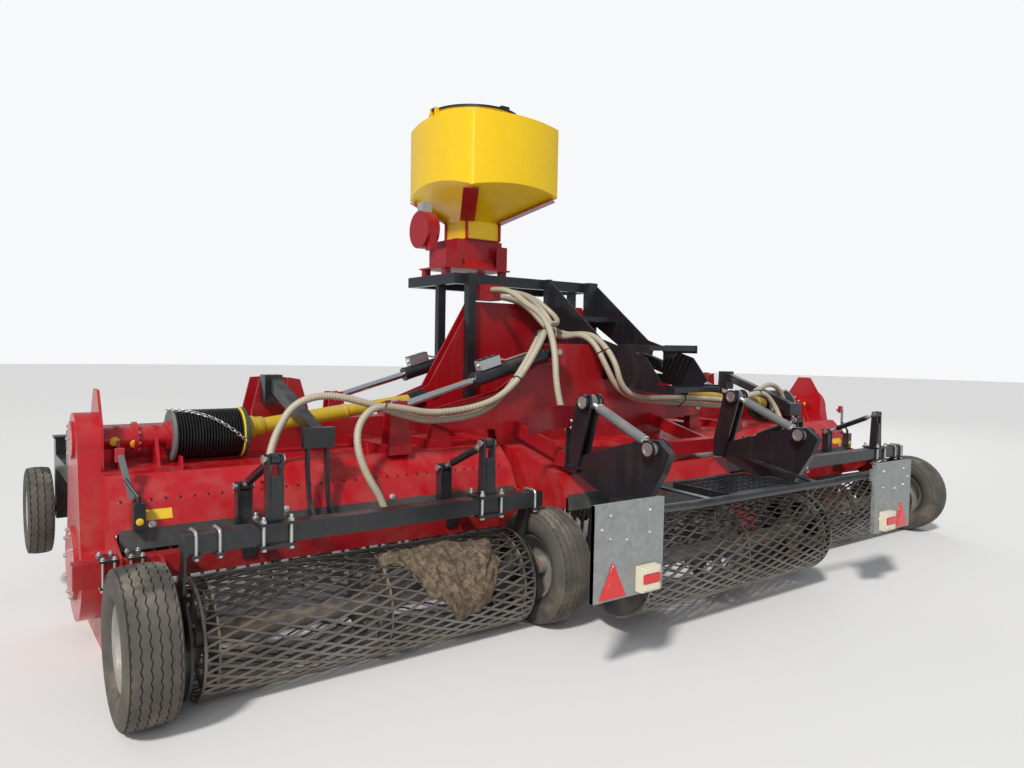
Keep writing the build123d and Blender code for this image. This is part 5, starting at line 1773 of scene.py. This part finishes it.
@dataclass
class Chain(Assembly):
    """The chain that holds a drive boot's guard.

    Attributes:
        side: The wing.
        start: Its first place across.
        end: Its last place across.
        radius: Its distance from the tube's line.
        y: The tube's line along Y.
        z: The tube's line above the ground.
        links: The number of links.
    """

    side: Side
    start: float = -2640.0
    end: float = -2262.0
    radius: float = 134.0
    y: float = DRIVE_Y
    z: float = DRIVE_Z
    links: int = 26

    def build(self, site: Site) -> None:
        """Makes the links, every other one turned on edge.

        Args:
            site: Where the machine's drawing stands.
        """
        form = Form(site, ZINC, self.side)
        line = [self.place(index / self.links) for index in range(self.links + 1)]
        for index in range(self.links):
            self.link(form, line[index], line[index + 1], index % 2 == 1)
        form.piece("boot_chain_" + self.side.value, self.side.wing, angle=60.0)

    def place(self, share: float) -> Vector:
        """Gives a point of the chain's line by its share of the way.

        Args:
            share: The share of the way from its first place to its last.

        Returns:
            The point.
        """
        angle = math.radians(78 - 96 * share ** 1.6)
        return Vector((self.start + (self.end - self.start) * share, self.y - self.radius * math.cos(angle),
                       self.z + self.radius * math.sin(angle)))

    def link(self, form: Form, start: Vector, end: Vector, on_edge: bool) -> None:
        """Adds one oval link between two points of the line.

        Args:
            form: The form that the solids go into.
            start: The link's first end.
            end: Its other end.
            on_edge: Whether it stands on edge, square to its neighbours.
        """
        way = (end - start).normalized()
        middle = (start + end) / 2
        outward = Vector((0, middle.y - self.y, middle.z - self.z)).normalized()
        level = way.cross(outward).normalized()
        wide = outward if on_edge else level
        half = (end - start).length / 2 + 3.0
        loop = []
        for step in range(14):
            angle = 2 * math.pi * step / 14
            stretch = half - 6 if math.cos(angle) > 0 else 6 - half
            loop.append(middle + way * (stretch + 6 * math.cos(angle)) + wide * (7 * math.sin(angle)))
        form.pipe(loop + [loop[0]], 2.2, 6)


@dataclass
class MudClod(Assembly):
    """The lump of soil that sticks to the left roller's mesh.

    Attributes:
        left: Its left end.
        right: Its right end.
        y: The roller's axis along Y.
        z: The roller's axis above the ground.
        radius: The roller's radius.
    """

    left: float = -1929.0
    right: float = -1320.0
    y: float = 100.0
    z: float = 250.0
    radius: float = 247.0

    def build(self, site: Site) -> None:
        """Makes the clod as one lumpy closed patch.

        Args:
            site: Where the machine's drawing stands.
        """
        form = Form(site, CLOD)
        columns, rows = 72, 30
        points, faces = [], []
        for layer in (0, 1):
            for column in range(columns + 1):
                for row in range(rows + 1):
                    points.append(self.place(column / columns, row / rows, layer))
        side = (columns + 1) * (rows + 1)
        for column in range(columns):
            for row in range(rows):
                a = column * (rows + 1) + row
                b, c, d = a + 1, a + rows + 2, a + rows + 1
                faces.append([a, b, c, d])
                faces.append([side + a, side + d, side + c, side + b])
        edge = [column * (rows + 1) for column in range(columns + 1)]
        edge += [columns * (rows + 1) + row for row in range(1, rows + 1)]
        edge += [column * (rows + 1) + rows for column in range(columns - 1, -1, -1)]
        edge += [row for row in range(rows - 1, 0, -1)]
        for start, end in zip(edge, edge[1:] + edge[:1]):
            faces.append([start, end, side + end, side + start])
        form.add(points, faces)
        form.piece("mud_clod", "drum_left", angle=70.0)

    def place(self, across: float, turn: float, layer: int) -> Vector:
        """Gives a point of the clod.

        Args:
            across: The share of the way along the roller.
            turn: The share of the way round.
            layer: 1 for the outer skin, 0 for the inner one.

        Returns:
            The point.
        """
        ragged = noise.noise(Vector((across * 6.0, turn * 2.5, 3.1)))
        x = self.left + (self.right - self.left) * (across + ragged * 0.07)
        hang = math.sin(math.pi * min(1.0, across * 0.72 + 0.06)) ** 2
        top = 101 + 6 * math.sin(across * 9.0)
        low = 116 + 82 * hang + 16 * noise.noise(Vector((across * 7.0, 1.7, 9.0)))
        angle = math.radians(top + (low - top) * turn)
        edge = min(1.0, 7.0 * min(across, 1 - across)) * min(1.0, 4.0 * min(turn, 1 - turn))
        rough = noise.noise(Vector((across * 9.0, turn * 5.0, 0.5)))
        rough += 0.6 * noise.noise(Vector((across * 23.0, turn * 12.0, 7.5)))
        rough += 0.35 * noise.noise(Vector((across * 60.0, turn * 30.0, 2.5)))
        lift = edge ** 0.5 * (24.0 + 22.0 * rough) if layer else -6.0
        radius = self.radius + lift
        return Vector((x, self.y + radius * math.cos(angle), self.z + radius * math.sin(angle)))


@dataclass
class RearPlates(Assembly):
    """The lamps, reflectors, folded lips and bolts of the two galvanised plates.

    Attributes:
        plate_x: The plates' middle, each side.
        face_y: The plates' rear face.
        half: Half a plate's width.
        low: A plate's lower edge.
        high: A plate's upper edge.
        lamp: How far the lamp's middle is inside the plate's.
        reflector: How far the triangle's middle is outside the plate's.
    """

    plate_x: float = 1130.0
    face_y: float = -803.3
    half: float = 210.0
    low: float = 385.0
    high: float = 805.0
    lamp: float = 95.0
    reflector: float = 100.0

    def build(self, site: Site) -> None:
        """Makes the lamps, the triangles and the fixings.

        Args:
            site: Where the machine's drawing stands.
        """
        lights = Form(site, LAMP)
        fixings = Form(site, ZINC_SHEET)
        for side in (-1, 1):
            self.light(lights, side)
            self.triangle(lights, side)
            self.fixings(fixings, side)
        lights.piece("lamps_and_triangles", "chassis", ["rear_lights"], bevel=2.5)
        fixings.piece("plate_lips_and_bolts", "chassis")

    def light(self, form: Form, side: int) -> None:
        """Adds a cream lamp with a red band.

        Args:
            form: The form that the solids go into.
            side: The plate's side, -1 for left and 1 for right.
        """
        middle = side * (self.plate_x - self.lamp)
        blocks = ((LAMP, 58, 42, 0, (402, 514)), (LAMP, 44, 47, 40, (410, 440)),
                  (LAMP, 44, 47, 40, (484, 506)), (LENS, 50, 50, 40, (443, 481)))
        for finish, half, front, back, height in blocks:
            form.finish = finish
            form.block((middle - half, middle + half), (self.face_y - front, self.face_y - back), height)

    def triangle(self, form: Form, side: int) -> None:
        """Adds a red reflector triangle.

        Args:
            form: The form that the solids go into.
            side: The plate's side, -1 for left and 1 for right.
        """
        middle = side * (self.plate_x + self.reflector)
        form.finish = LENS
        for half, front, back, low, high in ((78, 6.5, 0, 396, 548), (56, 9.0, 6, 408, 518)):
            corners = [(middle - half, low), (middle + half, low), (middle, high)]
            form.along((self.face_y - front, self.face_y - back), corners)

    def fixings(self, form: Form, side: int) -> None:
        """Adds a plate's folded side lips and the bolts on its face.

        Args:
            form: The form that the solids go into.
            side: The plate's side, -1 for left and 1 for right.
        """
        middle = side * self.plate_x
        form.finish = ZINC_SHEET
        for edge in (-1, 1):
            left, right = sorted((middle + edge * self.half, middle + edge * (self.half - 3)))
            form.block((left, right), (self.face_y + 3, self.face_y + 25), (self.low, self.high))
        form.finish = ZINC
        for x, z in ((-120, 755), (120, 755), (-120, 655), (120, 655), (-20, 640), (150, 470), (-170, 700)):
            form.bolt((middle - side * x, self.face_y + 0.3, z), (0, -1, 0), 7)


@dataclass
class Studio(Assembly):
    """The floor, the lamps, the world and the camera.

    Attributes:
        eye: The camera's place in millimetres from the axle line.
        yaw: The camera's turn to the right of +Y, in radians.
        pitch: Its tilt upward, in radians.
        roll: Its lean, in radians.
        focal: Its focal length in pixels of a frame of 1024.
        floor_radius: The floor's radius in metres.
    """

    eye: Point = (-3482.6, -3107.1, 1468.4)
    yaw: float = 0.635
    pitch: float = -0.0502
    roll: float = 0.0186
    focal: float = 755.35
    floor_radius: float = 45.0

    def build(self, site: Site) -> None:
        """Makes the stage, the light and the camera.

        Args:
            site: Where the machine's drawing stands.
        """
        self.camera(site)
        self.lamps()
        self.world()
        self.floor()

    def camera(self, site: Site) -> None:
        """Sets the camera at the photograph's angle.

        Args:
            site: Where the machine's drawing stands.
        """
        lens = bpy.data.cameras.new("camera")
        lens.sensor_width = 36.0
        lens.lens = self.focal / 1024 * 36.0
        lens.clip_end = 200.0
        flat = math.cos(self.pitch)
        ahead = Vector((math.sin(self.yaw) * flat, math.cos(self.yaw) * flat, math.sin(self.pitch)))
        level = Vector((math.cos(self.yaw), -math.sin(self.yaw), 0))
        upright = level.cross(ahead)
        right = level * math.cos(self.roll) + upright * math.sin(self.roll)
        above = -level * math.sin(self.roll) + upright * math.cos(self.roll)
        camera = bpy.data.objects.new("camera", lens)
        turn = Matrix((right, above, -ahead)).transposed().to_4x4()
        camera.matrix_world = Matrix.Translation(site.point(self.eye)) @ turn
        bpy.context.scene.collection.objects.link(camera)
        bpy.context.scene.camera = camera

    def lamps(self) -> None:
        """Adds a high sun with soft edges and two broad panels."""
        sun = bpy.data.lights.new("sun", "SUN")
        sun.energy = 3.0
        sun.angle = math.radians(7)
        sun.color = (1.0, 0.985, 0.955)
        holder = bpy.data.objects.new("sun", sun)
        holder.rotation_euler = (math.radians(38), math.radians(-24), math.radians(-28))
        bpy.context.scene.collection.objects.link(holder)
        for name, place, energy, size in (("panel_rear", (-7.0, -8.0, 5.5), 240.0, 6.0),
                                          ("panel_front", (7.5, 7.0, 6.0), 190.0, 7.0)):
            panel = bpy.data.lights.new(name, "AREA")
            panel.energy = energy
            panel.size = size
            holder = bpy.data.objects.new(name, panel)
            holder.location = place
            holder.rotation_euler = (Vector((0, 0, 0.8)) - Vector(place)).to_track_quat("-Z", "Y").to_euler()
            bpy.context.scene.collection.objects.link(holder)

    def world(self) -> None:
        """Makes a pale world that is white where the camera sees it or a transmitted ray reaches it."""
        world = bpy.data.worlds.new("studio")
        world.use_nodes = True
        bpy.context.scene.world = world
        nodes, links = world.node_tree.nodes, world.node_tree.links
        light = nodes["Background"]
        light.inputs["Color"].default_value = (0.80, 0.86, 0.95, 1.0)
        light.inputs["Strength"].default_value = 0.44
        white = nodes.new("ShaderNodeBackground")
        white.inputs["Color"].default_value = (0.93, 0.94, 0.95, 1.0)
        path = nodes.new("ShaderNodeLightPath")
        seen = nodes.new("ShaderNodeMath")
        seen.operation = "MAXIMUM"
        links.new(path.outputs["Is Camera Ray"], seen.inputs[0])
        links.new(path.outputs["Is Transmission Ray"], seen.inputs[1])
        mix = nodes.new("ShaderNodeMixShader")
        links.new(seen.outputs[0], mix.inputs[0])
        links.new(light.outputs[0], mix.inputs[1])
        links.new(white.outputs[0], mix.inputs[2])
        links.new(mix.outputs[0], nodes["World Output"].inputs["Surface"])

    def floor(self) -> None:
        """Makes a plain pale floor."""
        graph = Graph("floor")
        place = graph.place()
        grain = graph.noise(place, 60.0, 3.0)
        graph.set(Base_Color=graph.mix(grain * 0.3, (0.70, 0.69, 0.67), (0.62, 0.61, 0.59)), Roughness=0.85)
        turns = [2 * math.pi * index / 96 for index in range(96)]
        radius = self.floor_radius
        edge = [(radius * math.cos(turn), radius * math.sin(turn), 0.0) for turn in turns]
        mesh = bpy.data.meshes.new("floor")
        mesh.from_pydata(edge, [], [list(range(len(edge)))])
        mesh.materials.append(graph.material)
        floor = bpy.data.objects.new("floor", mesh)
        bpy.context.scene.collection.objects.link(floor)


NODE_FINISHES: dict[str, Finish] = {
    "centre_frame": FRAME_RED, "tower_plates": FRAME_RED, "hitch_frame": FRAME_RED, "frame_pins": ZINC,
    "centre_gearbox": FRAME_RED, "centre_hood": RED, "centre_flap": FLAP, "centre_comb": STEEL,
    "roller_carrier": BLACK, "carrier_struts": GREY, "walkway": BLACK, "marker_plates": ZINC_SHEET,
    "rear_lights": LAMP, "platform": BLACK, "stairs": BLACK, "seeder_base": FRAME_RED,
    "seeder_tank": TANK, "seeder_lid": BELLOWS, "centre_rotor": STEEL, "centre_drum": MESH,
    "centre_hose": HOSE, "wing_hoses": HOSE, "wing_frame": FRAME_RED, "wing_hood": RED, "wing_flap": FLAP,
    "wing_comb": STEEL, "side_drive": RED, "drive_bellows": BELLOWS, "roller_beam": BLACK,
    "beam_struts": BLACK, "furrow_tines": BLACK, "gauge_arm": BLACK, "pto_guard": GUARD,
    "fold_barrels": BLACK, "fold_rods": CHROME, "wing_rotor": STEEL, "wing_drum": MESH,
    "outer_road_wheel": RUBBER, "inner_road_wheel": RUBBER, "gauge_wheel": RUBBER,
}


def dress_nodes(nodes: dict[str, bpy.types.Object]) -> None:
    """Gives every CAD node its finish.

    Args:
        nodes: The CAD objects by node name.
    """
    for name, thing in nodes.items():
        finish = NODE_FINISHES[name.removesuffix("_left").removesuffix("_right")]
        for slot in thing.material_slots:
            slot.material = finish.material()


def assemblies() -> list[Assembly]:
    """Lists the machine's dressed groups in building order.

    Returns:
        The groups.
    """
    groups: list[Assembly] = [Studio(), RearPlates()]
    groups.append(MeshDrum("centre_drum", "centre_drum_body", -790, 790, -365, 345))
    carrier = [((side * 645.0, 5.0, 1165.0), (side * 645.0, -490.0, 965.0)) for side in (-1, 1)]
    groups.append(Turnbuckle("carrier_struts_dressed", "chassis", "carrier_struts", carrier, tube=28,
                             thread=16, pin=21, cheek=60, finish=GREY))
    groups.append(SeedHose("centre_seed_hose", "centre_hose", CENTRE_ROUTE, SHORT_HOSE))
    groups.append(CarrierRings())
    groups.append(CentrePlate())
    groups.append(SeederFittings())
    groups.append(MudClod())
    for side in Side:
        word, sign = side.value, side.sign
        ends = sorted((sign * 2735, sign * 1125))
        groups.append(MeshDrum("wing_drum_" + word, "drum_" + word, ends[0], ends[1], 100, 250))
        for name, track, out in (("outer", 2930, sign), ("inner", 966, -sign)):
            node, body = f"{name}_road_wheel_{word}", f"{name}_wheel_{word}"
            groups.append(Wheel(node, body, sign * track, 0, 305, out))
        groups.append(Wheel("gauge_wheel_" + word, "gauge_" + word, sign * 3110, 2000, 470, sign, radius=249,
                            width=130, bead=121, rim=54, ribs=3, waves=34, circle=60))
        groups.append(DriveLine(side))
        struts = [((x, 410.0, 800.0), (x, 0.0, 980.0)) for x in POSTS]
        groups.append(Turnbuckle("beam_struts_dressed_" + word, side.wing, "beam_struts_" + word, struts,
                                 side=side))
        groups.append(WingFittings(side))
        groups.append(Crank(side))
        groups.append(ValveBlocks(side))
        groups.append(Chain(side))
        routes, runs = (LEFT_HOOD_ROUTE, LEFT_TUBE_ROUTE), ((7, 9), (13,))
        if side is Side.RIGHT:
            routes, runs = (RIGHT_HOOD_ROUTE, RIGHT_TUBE_ROUTE), ((7, 11), (14,))
        groups.append(HoseTies(side, *routes, *runs))
        for name, route in zip(("hood_hose_", "tube_hose_"), routes):
            groups.append(SeedHose(name + word, "wing_hoses_" + word, route, side=side))
    return groups


def main() -> None:
    """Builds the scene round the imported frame."""
    logging.basicConfig(level=logging.INFO, format="%(message)s")
    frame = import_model()
    joints = frame["record"]["behaviour"]["joints"]
    axle = next(joint for joint in joints if joint["name"] == "outer_wheel_spin_left")
    site = Site(axle["pos_m"][1])
    bpy.context.scene.view_settings.view_transform = "Standard"
    dress_nodes(frame["nodes"])
    for group in assemblies():
        group.build(site)


if __name__ == "__main__":
    main()
